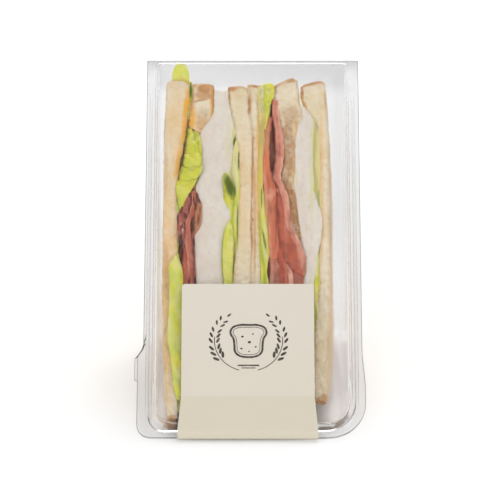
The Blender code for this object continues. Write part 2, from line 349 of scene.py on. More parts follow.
class Tree:
    """One shader node tree, with short ways to add and link its nodes."""

    def __init__(self, tree: bpy.types.NodeTree) -> None:
        """Wrap an existing tree."""
        self.tree = tree

    def put(self, socket: Socket, value: object) -> None:
        """Link a socket into this input, or set the input to a plain value.

        Args:
            socket: The input.
            value: A socket or a plain value.
        """
        if isinstance(value, Socket):
            self.tree.links.new(value, socket)
        else:
            socket.default_value = value

    def add(
            self, kind: str, inputs: dict[object, object] | None = None, **settings: object,
    ) -> bpy.types.Node:
        """Add a node.

        Args:
            kind: The node's type.
            inputs: Values or sockets by input name or number.
            settings: The node's own properties.

        Returns:
            The new node.
        """
        node = self.tree.nodes.new(kind)
        for name, value in settings.items():
            setattr(node, name, value)
        for name, value in (inputs or {}).items():
            self.put(node.inputs[name], value)
        return node

    def math(self, operation: str, first: object, second: object = 0.0) -> Socket:
        """Return the result of one sum, held between 0 and 1."""
        node = self.add("ShaderNodeMath", {0: first, 1: second}, operation=operation, use_clamp=True)
        return node.outputs[0]

    def part(self, mask: object, strength: object) -> Socket:
        """Return a mask at part of its strength."""
        return self.math("MULTIPLY", mask, strength)

    def blend(self, share: object, first: object, second: object) -> Socket:
        """Return the mix of two colours."""
        return self.add("ShaderNodeMix", {0: share, 6: first, 7: second}, data_type="RGBA").outputs[2]

    def spread(self, value: object, low: object, high: object) -> Socket:
        """Return a value stretched so that low becomes 0 and high becomes 1."""
        return self.add("ShaderNodeMapRange", {"Value": value, "From Min": low, "From Max": high}).outputs[0]

    def between(self, mask: object, low: float, high: float) -> Socket:
        """Return a value that runs from low to high as a mask goes from 0 to 1."""
        return self.add("ShaderNodeMapRange", {"Value": mask, "To Min": low, "To Max": high}).outputs[0]

    def place(self) -> Socket:
        """Return the piece's own coordinates."""
        return self.add("ShaderNodeTexCoord").outputs["Object"]

    def mask(self, name: str) -> Socket:
        """Return a mask that the mesh carries."""
        return self.add("ShaderNodeAttribute", attribute_name=name).outputs["Fac"]

    def effect(self, group: bpy.types.NodeTree, **inputs: object) -> Socket:
        """Place a shared effect with its own values and return its output.

        Args:
            group: The effect.
            inputs: Values or sockets by input name.

        Returns:
            Its output.
        """
        node = self.add("ShaderNodeGroup", node_tree=group)
        for name, value in inputs.items():
            self.put(node.inputs[name], value)
        return node.outputs[0]


class EffectTree(Tree):
    """The tree of a shared effect, with plain number inputs and one output that changes over the surface."""

    def __init__(self, name: str, output: str, **inputs: float) -> None:
        """Start the effect.

        Args:
            name: Name of the effect.
            output: Name of its output.
            inputs: Input names with their usual values.
        """
        super().__init__(bpy.data.node_groups.new(name, "ShaderNodeTree"))
        sockets = self.tree.interface
        for label, value in inputs.items():
            socket = sockets.new_socket(name=label, in_out="INPUT", socket_type="NodeSocketFloat")
            socket.default_value = value
        sockets.new_socket(name=output, in_out="OUTPUT", socket_type="NodeSocketFloat")
        self.given = self.add("NodeGroupInput").outputs
        self.result = self.add("NodeGroupOutput")

    def texture(self, kind: str, place: Socket, **settings: float) -> Socket:
        """Return the value of a texture laid at this place in the effect's own scale."""
        return self.add(kind, {"Vector": place, "Scale": self.given["Scale"], **settings}).outputs[0]

    def giving(self, value: Socket) -> bpy.types.NodeTree:
        """Put this value out and return the finished effect."""
        self.put(self.result.inputs[0], value)
        return self.tree


class Effects:
    """The effects that several finishes share."""

    def __init__(self) -> None:
        """Build every effect once."""
        self.mottle = self.build_mottle()
        self.streaks = self.build_streaks()
        self.grain = self.build_grain()
        self.specks = self.build_specks()

    @staticmethod
    def build_mottle() -> bpy.types.NodeTree:
        """Return soft blotches, from 0 to 1, whose size goes down as Scale goes up.

        Returns:
            The effect.
        """
        tree = EffectTree("mottle", "Mask", Scale=60.0, Low=0.35, High=0.65)
        cloud = tree.texture("ShaderNodeTexNoise", tree.place(), Detail=4.0)
        return tree.giving(tree.spread(cloud, tree.given["Low"], tree.given["High"]))

    @staticmethod
    def build_streaks() -> bpy.types.NodeTree:
        """Return fibres that run up the slope of the pack's face, from 0 to 1.

        Returns:
            The effect.
        """
        tree = EffectTree("streaks", "Mask", Scale=500.0, Stretch=6.0, Low=0.3, High=0.7)
        sizes = tree.add("ShaderNodeCombineXYZ", {0: 1.0, 1: tree.given["Stretch"], 2: 1.5})
        along_face = (math.radians(45.0), 0.0, 0.0)
        laid = tree.add("ShaderNodeMapping", {
            "Vector": tree.place(), "Rotation": along_face, "Scale": sizes.outputs[0]}, vector_type="TEXTURE")
        cloud = tree.texture("ShaderNodeTexNoise", laid.outputs[0], Detail=3.0, Distortion=0.4)
        return tree.giving(tree.spread(cloud, tree.given["Low"], tree.given["High"]))

    @staticmethod
    def build_grain() -> bpy.types.NodeTree:
        """Return a fine uneven height made of open cells over soft lumps.

        Returns:
            The effect.
        """
        tree = EffectTree("grain", "Height", Scale=900.0, Cells=0.5)
        cloud = tree.texture("ShaderNodeTexNoise", tree.place(), Detail=5.0)
        cells = tree.texture("ShaderNodeTexVoronoi", tree.place())
        height = tree.add("ShaderNodeMix", {0: tree.given["Cells"], 2: cloud, 3: cells})
        return tree.giving(height.outputs[0])

    @staticmethod
    def build_specks() -> bpy.types.NodeTree:
        """Return small scattered specks, 1 inside each and 0 between them.

        Returns:
            The effect.
        """
        tree = EffectTree("specks", "Mask", Scale=300.0, Size=0.12)
        cells = tree.texture("ShaderNodeTexVoronoi", tree.place())
        return tree.giving(tree.spread(cells, tree.given["Size"], 0.0))


class MaterialTree(Tree):
    """The node tree of one finish around its Principled shader."""

    def __init__(self, name: str) -> None:
        """Start the finish under this name.

        Args:
            name: Name of the material.
        """
        self.material = bpy.data.materials.new(name)
        self.material.use_nodes = True
        super().__init__(self.material.node_tree)
        self.shader = self.tree.nodes["Principled BSDF"]

    def plain(self, values: dict[str, object]) -> None:
        """Set plain values on the shader's own sockets."""
        for name, value in values.items():
            self.shader.inputs[name].default_value = value

    def colour(self, colour: object) -> None:
        """Give the shader its colour."""
        self.put(self.shader.inputs["Base Color"], colour)

    def rough(self, mask: object, low: float, high: float) -> None:
        """Let the roughness run from low to high with a mask."""
        self.put(self.shader.inputs["Roughness"], self.between(mask, low, high))

    def bump(self, height: object, strength: float, distance: float) -> None:
        """Raise a fine relief, whose full height is given in metres."""
        bump = self.add("ShaderNodeBump", {"Height": height, "Strength": strength, "Distance": distance})
        self.put(self.shader.inputs["Normal"], bump.outputs[0])

    def soften(self, weight: float, radius: Triple, scale: float) -> None:
        """Let light wander under the surface, as far as the scale in metres."""
        self.plain({"Subsurface Weight": weight, "Subsurface Radius": radius, "Subsurface Scale": scale})


# ---------------------------------------------------------------- finishes


@dataclass(frozen=True)
class BreadFinish:
    """Soft white crumb with a thin baked crust, butter stains and soaked places."""

    crumb: Colour = paint(227, 217, 194)
    crumb_dim: Colour = paint(219, 204, 170)
    tan: Colour = paint(212, 166, 106)
    golden: Colour = paint(182, 114, 58)
    dark_crust: Colour = paint(126, 76, 42)
    butter: Colour = paint(230, 166, 44)
    soaked: Colour = paint(172, 122, 76)
    fleck: Colour = paint(118, 74, 48)

    def crumb_colour(self, tree: Tree, effects: Effects) -> Socket:
        """Return the colour of the open crumb with its butter stains and soaked places.

        Args:
            tree: The bread's node tree.
            effects: The shared effects.

        Returns:
            The colour.
        """
        cloud = tree.effect(effects.mottle, Scale=55.0, Low=0.38, High=0.66)
        fine = tree.effect(effects.mottle, Scale=420.0, Low=0.35, High=0.7)
        uneven = tree.effect(effects.mottle, Scale=160.0, Low=0.15, High=0.6)
        hollows = tree.effect(effects.specks, Scale=520.0, Size=0.3)
        flecks = tree.effect(effects.specks, Scale=430.0, Size=0.42)
        crumb = tree.blend(cloud, self.crumb, self.crumb_dim)
        crumb = tree.blend(tree.part(fine, 0.2), crumb, self.tan)
        crumb = tree.blend(tree.part(hollows, 0.3), crumb, self.tan)
        crumb = tree.blend(tree.part(tree.mask("butter"), tree.between(uneven, 0.5, 1.0)), crumb, self.butter)
        wet = tree.mask("soak")
        soak = tree.part(wet, tree.math("ADD", tree.part(fine, 0.4), 0.7))
        crumb = tree.blend(soak, crumb, self.soaked)
        return tree.blend(tree.part(tree.part(wet, flecks), 0.8), crumb, self.fleck)

    def crust_colour(self, tree: Tree, effects: Effects) -> Socket:
        """Return the colour of the baked crust, browner in broad patches, scorches and blisters.

        Args:
            tree: The bread's node tree.
            effects: The shared effects.

        Returns:
            The colour.
        """
        uneven = tree.effect(effects.mottle, Scale=160.0, Low=0.15, High=0.6)
        scorched = tree.effect(effects.mottle, Scale=95.0, Low=0.5, High=0.78)
        broad = tree.effect(effects.mottle, Scale=30.0, Low=0.42, High=0.68)
        flecks = tree.effect(effects.specks, Scale=430.0, Size=0.42)
        blisters = tree.effect(effects.specks, Scale=260.0, Size=0.34)
        crust = tree.blend(tree.part(uneven, 0.55), self.golden, self.tan)
        crust = tree.blend(tree.part(scorched, 0.55), crust, self.dark_crust)
        crust = tree.blend(tree.part(broad, 0.4), crust, self.dark_crust)
        crust = tree.blend(tree.part(flecks, 0.45), crust, self.tan)
        return tree.blend(tree.part(blisters, 0.5), crust, self.dark_crust)

    def material(self, effects: Effects) -> Material:
        """Return the bread material, which reads the masks crust, butter and soak.

        Args:
            effects: Effects that the finishes share.

        Returns:
            The material.
        """
        tree = MaterialTree("bread")
        crust = tree.mask("crust")
        tree.colour(tree.blend(crust, self.crumb_colour(tree, effects), self.crust_colour(tree, effects)))
        tree.rough(crust, 0.95, 0.6)
        tree.bump(tree.effect(effects.grain, Scale=1500.0, Cells=0.45), 0.35, 0.0004)
        tree.soften(0.12, (1.0, 0.7, 0.4), 0.0015)
        tree.plain({"Specular IOR Level": 0.25})
        return tree.material


@dataclass(frozen=True)
class LeafFinish:
    """Moist lettuce, from pale rib over lime blade to dark green, with painted shade in its folds and in the
    gaps beside it.
    """

    pale: Colour = paint(220, 214, 164)
    lime: Colour = paint(214, 208, 56)
    bright: Colour = paint(186, 196, 44)
    golden: Colour = paint(206, 176, 96)
    # Dark green, also used as painted shade in folds, creases and gaps.
    deep: Colour = paint(82, 98, 0)

    def material(self, effects: Effects) -> Material:
        """Return the lettuce material, which reads the masks green, deep and golden.

        Args:
            effects: Effects that the finishes share.

        Returns:
            The material.
        """
        tree = MaterialTree("lettuce")
        cloud = tree.effect(effects.mottle, Scale=140.0, Low=0.35, High=0.65)
        fibres = tree.effect(effects.streaks, Scale=900.0, Stretch=5.0, Low=0.3, High=0.75)
        blade = tree.blend(cloud, self.lime, self.bright)
        colour = tree.blend(tree.mask("green"), self.pale, blade)
        colour = tree.blend(tree.part(fibres, 0.14), colour, self.pale)
        colour = tree.blend(tree.mask("golden"), colour, self.golden)
        tree.colour(tree.blend(tree.mask("deep"), colour, self.deep))
        tree.rough(cloud, 0.34, 0.5)
        tree.bump(fibres, 0.3, 0.0003)
        tree.soften(0.3, (0.8, 1.0, 0.2), 0.0018)
        tree.plain({"Specular IOR Level": 0.22})
        return tree.material


@dataclass(frozen=True)
class MeatFinish:
    """Moist cured rashers: red lean with fibres, pale fat, browned places and glossy folds, with painted
    shade in hollows and creases and a few painted highlights.
    """

    lean: Colour = paint(190, 92, 70)
    lean_dim: Colour = paint(140, 58, 44)
    # Pale fat, also used for the painted highlights of a few fat patches and ribbon edges.
    fat: Colour = paint(226, 166, 142)
    glow: Colour = paint(212, 110, 66)
    seared: Colour = paint(196, 132, 84)
    # Dark meat, also used as painted shade in hollows, gaps and fold valleys.
    dark: Colour = paint(62, 22, 16)

    def material(self, effects: Effects) -> Material:
        """Return the bacon material, which reads the masks fat, dark, glow and seared.

        Args:
            effects: Effects that the finishes share.

        Returns:
            The material.
        """
        tree = MaterialTree("bacon")
        fibres = tree.effect(effects.streaks, Scale=600.0, Stretch=7.0, Low=0.3, High=0.72)
        marbled = tree.effect(effects.streaks, Scale=300.0, Stretch=9.0, Low=0.54, High=0.72)
        cloud = tree.effect(effects.mottle, Scale=190.0, Low=0.35, High=0.65)
        colour = tree.blend(fibres, self.lean, self.lean_dim)
        colour = tree.blend(tree.mask("glow"), colour, self.glow)
        colour = tree.blend(tree.mask("seared"), colour, self.seared)
        colour = tree.blend(tree.part(marbled, 0.45), colour, self.fat)
        colour = tree.blend(tree.part(tree.mask("fat"), tree.math("ADD", cloud, 0.7)), colour, self.fat)
        tree.colour(tree.blend(tree.mask("dark"), colour, self.dark))
        tree.rough(fibres, 0.3, 0.48)
        tree.bump(fibres, 0.35, 0.0003)
        tree.soften(0.2, (1.0, 0.35, 0.25), 0.0015)
        tree.plain({"Specular IOR Level": 0.3, "Coat Weight": 0.1, "Coat Roughness": 0.25})
        return tree.material


@dataclass(frozen=True)
class MayoFinish:
    """Chopped chicken in mayonnaise: creamy white with faint shreds and the odd speck."""

    cream: Colour = paint(221, 213, 202)
    shred: Colour = paint(213, 200, 186)
    green: Colour = paint(208, 204, 140)
    speck: Colour = paint(150, 130, 108)

    def material(self, effects: Effects) -> Material:
        """Return the filling's material, which reads the masks tint, lean and shade.

        Args:
            effects: Effects that the finishes share.

        Returns:
            The material.
        """
        tree = MaterialTree("chicken_mayo")
        cloud = tree.effect(effects.mottle, Scale=120.0, Low=0.35, High=0.7)
        specks = tree.effect(effects.specks, Scale=210.0, Size=0.13)
        colour = tree.blend(cloud, self.cream, self.shred)
        colour = tree.blend(tree.mask("tint"), colour, self.green)
        colour = tree.blend(tree.mask("lean"), colour, self.shred)
        colour = tree.blend(tree.part(specks, 0.5), colour, self.speck)
        # Painted shade: the shade mask darkens the fold valleys towards the speck colour.
        tree.colour(tree.blend(tree.part(tree.mask("shade"), 0.4), colour, self.speck))
        tree.rough(cloud, 0.38, 0.6)
        tree.bump(tree.effect(effects.grain, Scale=500.0, Cells=0.15), 0.2, 0.0004)
        tree.soften(0.25, (1.0, 0.8, 0.6), 0.002)
        return tree.material


@dataclass(frozen=True)
class PlasticFinish:
    """Clear formed plastic, greyed in places by painted shade and painted dark grey on its cut edges."""

    clear: Colour = (0.992, 0.992, 0.994, 1.0)
    # Painted shade: the grey that the tint mask lays over the clear sheet.
    painted_grey: Colour = (0.72, 0.72, 0.722, 1.0)
    # Painted shade: the dark grey of the sheet's cut edges.
    edge: Colour = (0.26, 0.265, 0.27, 1.0)
    passing: Colour = (0.985, 0.985, 0.986, 1.0)
    surfaces_bent: float = 4.5

    def material(self, effects: Effects) -> Material:
        """Return the plastic, which reads the masks edge and tint, both of them painted shade.

        Lamps shine straight through it, and so does anything seen through more surfaces than
        surfaces_bent, which keeps thin walls seen from their edges from turning black.

        Args:
            effects: The shared effects.

        Returns:
            The material.
        """
        tree = MaterialTree("clear_plastic")
        haze = tree.effect(effects.mottle, Scale=25.0, Low=0.3, High=0.7)
        colour = tree.blend(tree.mask("tint"), self.clear, self.painted_grey)
        tree.colour(tree.blend(tree.mask("edge"), colour, self.edge))
        tree.rough(haze, 0.09, 0.15)
        tree.plain({"IOR": 1.3, "Specular IOR Level": 0.12, "Transmission Weight": 1.0})
        path = tree.add("ShaderNodeLightPath").outputs
        straight = tree.math("MAXIMUM", path["Is Shadow Ray"], path["Is Diffuse Ray"])
        many = tree.math("GREATER_THAN", path["Ray Depth"], self.surfaces_bent)
        straight = tree.math("MAXIMUM", straight, many)
        passing = tree.add("ShaderNodeBsdfTransparent", {"Color": self.passing})
        sockets = {0: straight, 1: tree.shader.outputs[0], 2: passing.outputs[0]}
        both = tree.add("ShaderNodeMixShader", sockets)
        tree.put(tree.tree.nodes["Material Output"].inputs["Surface"], both.outputs[0])
        return tree.material


@dataclass(frozen=True)
class PaperFinish:
    """Matt cream label paper with faint fibres, darker with painted shade below its fold and towards its low
    edge.
    """

    cream: Colour = paint(210, 203, 191)
    cream_dim: Colour = paint(205, 198, 184)
    # Painted shade: the colour that the paper takes below its fold and towards its low edge.
    painted_fold_shade: Colour = paint(203, 195, 177)

    def material(self, effects: Effects) -> Material:
        """Return the paper, which reads one mask of painted shade that darkens it below the fold and towards
        the low edge.

        Args:
            effects: Effects that the finishes share.

        Returns:
            The material.
        """
        tree = MaterialTree("label_paper")
        cloud = tree.effect(effects.mottle, Scale=22.0, Low=0.3, High=0.7)
        fibres = tree.effect(effects.streaks, Scale=1300.0, Stretch=0.25, Low=0.25, High=0.75)
        colour = tree.blend(tree.part(cloud, 0.6), self.cream, self.cream_dim)
        tree.colour(tree.blend(tree.mask("painted_fold_shade"), colour, self.painted_fold_shade))
        tree.rough(fibres, 0.62, 0.8)
        tree.bump(fibres, 0.12, 0.00005)
        tree.plain({"Specular IOR Level": 0.3})
        return tree.material


@dataclass(frozen=True)
class InkFinish:
    """Dark stamped ink, uneven as from a rubber stamp."""

    dark: Colour = paint(58, 44, 42)
    thin: Colour = paint(132, 118, 108)

    def material(self, effects: Effects) -> Material:
        """Return the ink.

        Args:
            effects: Effects that the finishes share.

        Returns:
            The material.
        """
        tree = MaterialTree("label_ink")
        worn = tree.effect(effects.mottle, Scale=900.0, Low=0.5, High=0.72)
        tree.colour(tree.blend(tree.part(worn, 0.75), self.dark, self.thin))
        tree.rough(worn, 0.5, 0.75)
        return tree.material


@dataclass(frozen=True)
class StudioFinish:
    """Pale seamless paper of the studio floor."""

    pale: Colour = (0.93, 0.93, 0.93, 1.0)
    pale_dim: Colour = (0.90, 0.90, 0.905, 1.0)

    def material(self, effects: Effects) -> Material:
        """Return the floor's material.

        Args:
            effects: Effects that the finishes share.

        Returns:
            The material.
        """
        tree = MaterialTree("studio_paper")
        mottle = tree.effect(effects.mottle, Scale=3.0, Low=0.3, High=0.7)
        tree.colour(tree.blend(mottle, self.pale, self.pale_dim))
        tree.plain({"Roughness": 0.9, "Specular IOR Level": 0.1})
        return tree.material


# ---------------------------------------------------------------- the sandwich


STACK_LEFT = -38.9
STACK_LEFT_SEAM = ((178, -38.0), (161, -38.5), (146, -39.0), (87, -39.0), (49, -38.5), (12, -36.0))
DEPTHS = (0.0, 8.0, 16.0, 28.0, 42.0)
CUT_SHARES = (1.0, 0.75, 0.5, 0.2, 0.0)
RIM_WIDTH = 7.0
LEAST_WIDTH = 0.3
STRIP_OVERLAP = 0.3


@dataclass(frozen=True)
class Patch:
    """A soft-edged oval mark on the cut, which fades out a little way below it; some are stains, others
    painted shade or painted highlights.
    """

    mask: str
    x: float
    v: float
    half_x: float
    half_v: float
    strength: float = 1.0
    tilt: float = 0.0
    reach: float = 5.0

    def over(self, points: Array) -> Array:
        """Return the stain's strength at these face points.

        Args:
            points: Array of face points with three coordinates at the end.

        Returns:
            One value for each point.
        """
        turn = math.radians(self.tilt)
        across, along = points[..., 0] - self.x, points[..., 1] - self.v
        side = (across * math.cos(turn) + along * math.sin(turn)) / self.half_x
        length = (along * math.cos(turn) - across * math.sin(turn)) / self.half_v
        away = np.hypot(side, length)
        ragged = away + 0.22 * lumps(points, (1.6, 3.0, 3.0), 2, self.v)
        below = np.clip(CUT_LEVEL - points[..., 2], 0.0, None)
        return self.strength * smooth((1.3 - ragged) / 0.7) * smooth(1.0 - below / self.reach)


@dataclass(frozen=True)
class Fold:
    """A loose ribbon of leaf or rasher that lies over the cut.

    edges gives its height up the slope with its left and right edge there, and levels its height up the
    slope with how far out it lies. The crown lifts its middle, the roll its right edge. The rim is how
    strongly the right edge, or the left one if below 0, is painted pale with fat and a painted highlight, and
    veins how strong the dark streaks are. The fields from green to seared are how strong each mask is.
    """

    edges: tuple[Triple, ...]
    levels: tuple[Point, ...]
    green: float = 0.0
    deep: float = 0.0
    golden: float = 0.0
    fat: float = 0.0
    dark: float = 0.0
    glow: float = 0.0
    seared: float = 0.0
    thickness: float = 0.8
    crown: float = 0.2
    roll: float = 0.0
    ruffle: float = 0.25
    ruffle_length: float = 7.0
    ends: float = 1.6
    crinkle: float = 0.3
    rim: float = 0.0
    veins: float = 0.0
    seed: float = 0.0
    spacing: float = 0.55
    around: int = 20

    def rings(self, angles: Array) -> Array:
        """Return the ribbon's rings, from its low end to its high end.

        Args:
            angles: Where the points of a ring stand around it.

        Returns:
            The rings' points.
        """
        places = [edge[0] for edge in self.edges]
        low, high = min(places), max(places)
        along = np.linspace(low + 0.03, high - 0.03, max(int((high - low) / self.spacing), 12))
        left = Curve(places, [edge[1] for edge in self.edges])(along)
        right = Curve(places, [edge[2] for edge in self.edges])(along)
        level = Curve.through(self.levels)(along)
        near_end = np.clip(np.minimum(along - low, high - along) / self.ends, 0.0, 1.0)
        rounded = np.sqrt(1.0 - (1.0 - near_end) ** 2)
        half = np.maximum((right - left) / 2.0 * (0.25 + 0.75 * rounded), 0.12)
        side, lift = np.cos(angles), np.sin(angles)
        x = ((left + right) / 2.0)[:, None] + half[:, None] * side
        phase = along[:, None] / self.ruffle_length * 2.0 * math.pi + self.seed
        middle = 1.0 - side ** 2
        bend = self.crown * middle + self.roll * side
        wave = self.ruffle * (np.sin(phase) * side ** 2 + 0.6 * np.sin(phase * 1.7 + 2.0 * side) * middle)
        full = 0.3 + 0.7 * rounded[:, None]
        body = self.thickness / 2.0 * full
        n = level[:, None] + (bend + wave) * full + body * np.sign(lift) * np.abs(lift) ** 0.7
        rings = spread(x, along[:, None], n)
        rings[..., 2] += self.crinkle * lumps(rings, (2.2, 2.6, 40.0), 3, self.seed)
        rings[..., 0] += 0.16 * lumps(rings, (30.0, 2.6, 30.0), 2, self.seed + 5.0)
        return rings

    def add_to(self, skin: Skin, patches: Sequence[Patch] = ()) -> None:
        """Add the ribbon's closed shell to a piece.

        Args:
            skin: The piece that it belongs to.
            patches: Patches of stain, painted shade and painted highlight that also reach it.
        """
        angles = np.linspace(0.0, 2.0 * math.pi, self.around, endpoint=False)
        rings = self.rings(angles)
        wander = lumps(rings, (1.8, 6.0, 6.0), 3, self.seed + 9.0)
        masks = {}
        for name in skin.mask_names:
            masks[name] = np.clip(getattr(self, name) * (1.0 + 0.6 * wander), 0.0, 1.0)
        # Pale fat and a painted highlight along one edge of the ribbon.
        if self.rim:
            near = smooth((np.cos(angles) * math.copysign(1.0, self.rim) - 0.25) / 0.6) * (1.0 + 0.8 * wander)
            masks["fat"] = np.clip(masks["fat"] + abs(self.rim) * near, 0.0, 1.0)
        if self.veins:
            vein = lumps(rings, (1.5, 9.0, 9.0), 3, self.seed + 12.0)
            masks["dark"] = np.clip(masks["dark"] + self.veins * smooth((vein - 0.1) / 0.35), 0.0, 1.0)
        for patch in patches:
            if patch.mask in masks:
                masks[patch.mask] = np.maximum(masks[patch.mask], patch.over(rings))
        skin.add_loft(rings, masks)


@dataclass(frozen=True)
class Outline:
    """The half-square outline of one layer in the plane of the slice, with its three corners rounded."""

    low: float
    back: float
    tip_low: float
    heel: float
    tip_high: float

    @property
    def low_line(self) -> float:
        """Return where the line along the pack's leg meets the plane of the face."""
        return CRUST_LINE + self.low * ROOT2

    @property
    def back_line(self) -> float:
        """Return where the line along the pack's back meets the plane of the face."""
        return SLOPE_LENGTH - CRUST_LINE - self.back * ROOT2

    @property
    def ends(self) -> Point:
        """Return the heights of the two tips of the cut.

        Returns:
            The low tip's height and the high tip's.
        """
        spare = ROOT2 - 1.0
        low = self.low_line - CUT_LEVEL + self.tip_low * spare
        return low, self.back_line + CUT_LEVEL - self.tip_high * spare

    def tips(self) -> tuple[Triple, ...]:
        """Return each tip's radius, where its centre stands on the cut, and 1 for the low tip or -1."""
        return ((self.tip_low, self.low_line - CUT_LEVEL + self.tip_low * ROOT2, 1.0),
                (self.tip_high, self.back_line + CUT_LEVEL - self.tip_high * ROOT2, -1.0))

    def bottom(self, v: Array) -> Array:
        """Return the level of the outline under each height of the cut.

        Args:
            v: Heights between the two tips.

        Returns:
            Levels, never above the cut.
        """
        low, back = self.low_line, self.back_line
        level = np.maximum(low - v, v - back)
        middle = (low + back) / 2.0
        centre = (low - back) / 2.0 + self.heel * ROOT2
        inside = np.abs(v - middle) < self.heel / ROOT2
        drop = np.sqrt(np.clip(self.heel ** 2 - (v - middle) ** 2, 0.0, None))
        level = np.where(inside, centre - drop, level)
        for radius, along, way in self.tips():
            arc = CUT_LEVEL - np.sqrt(np.clip(radius ** 2 - (v - along) ** 2, 0.0, None))
            level = np.where(way * (v - along) < -radius / ROOT2, arc, level)
        return level

    def crust_distance(self, v: Array, n: Array) -> Array:
        """Return how far points of the slice lie inside its crust.

        Args:
            v: Heights of the points.
            n: Levels of the points.

        Returns:
            Distances, below 0 outside the crust.
        """
        from_low = (v + n - self.low_line) / ROOT2
        from_back = (self.back_line - v + n) / ROOT2
        corner = (from_low < self.heel) & (from_back < self.heel)
        round_heel = self.heel - np.hypot(self.heel - from_low, self.heel - from_back)
        distance = np.where(corner, round_heel, np.minimum(from_low, from_back))
        for radius, along, way in self.tips():
            beyond = way * (v - along) < -radius / ROOT2
            distance = np.where(beyond, radius - np.hypot(v - along, n - CUT_LEVEL), distance)
        return distance


@dataclass(frozen=True)
class Layer:
    """One layer of the stack.

    seam gives heights up the slope with where the layer's right face stands there at the cut, and deep its
    width far behind the cut. proud is how far the cut stands out, wave how far the outline draws in, toast
    how brown a slice's faces are, and slant how much higher the high tip's right side ends than its middle.
    """

    name: str
    food: Food
    deep: float
    outline: Outline
    seam: tuple[Point, ...]
    proud: float = 0.0
    wave: float = 0.0
    slant: float = 0.0
    toast: float = 0.3
    patches: tuple[Patch, ...] = ()
    folds: tuple[Fold, ...] = ()
    outer_left: bool = False
    outer_right: bool = False


@dataclass(frozen=True)
class Seam:
    """Where two layers meet at the cut: a line up the slope that wanders a little."""

    heights: Array
    places: Array

    @classmethod
    def through(cls, points: Sequence[Point], wander: float, seed: float) -> "Seam":
        """Return a seam through these points.

        Args:
            points: Heights up the slope with its places across the pack.
            wander: How far it strays to each side.
            seed: Moves to another part of the noise.

        Returns:
            The seam.
        """
        heights = np.arange(0.0, SLOPE_LENGTH, 0.4)
        line = spread(heights, np.zeros_like(heights), 0.0)
        stray = wander * (0.75 * lumps(line, 7.5, 2, seed) + 0.5 * lumps(line, 2.0, 3, seed + 3.3))
        return cls(heights, Curve.through(points)(heights) + stray)

    def left_of(self, other: "Seam") -> "Seam":
        """Return this seam, held to the left of another one."""
        return Seam(self.heights, np.minimum(self.places, other.places - LEAST_WIDTH))

    def at(self, v: Array) -> Array:
        """Return where the seam runs at these heights."""
        return np.interp(v, self.heights, self.places)


@dataclass(frozen=True)
class SlabShape:
    """What the shape of a slab takes from being bread or filling.

    rim_drop is how far its sides fall in towards the crust, shoulder the largest radius between a side and
    the crust, wobble how much the edges of the cut wander, and rough how uneven its sides are.
    """

    rim_drop: float
    shoulder: float
    wobble: float
    rough: float


BREAD_SHAPE = SlabShape(1.3, 2.0, 0.12, 0.16)
FILLING_SHAPE = SlabShape(0.0, 1.2, 0.22, 0.1)


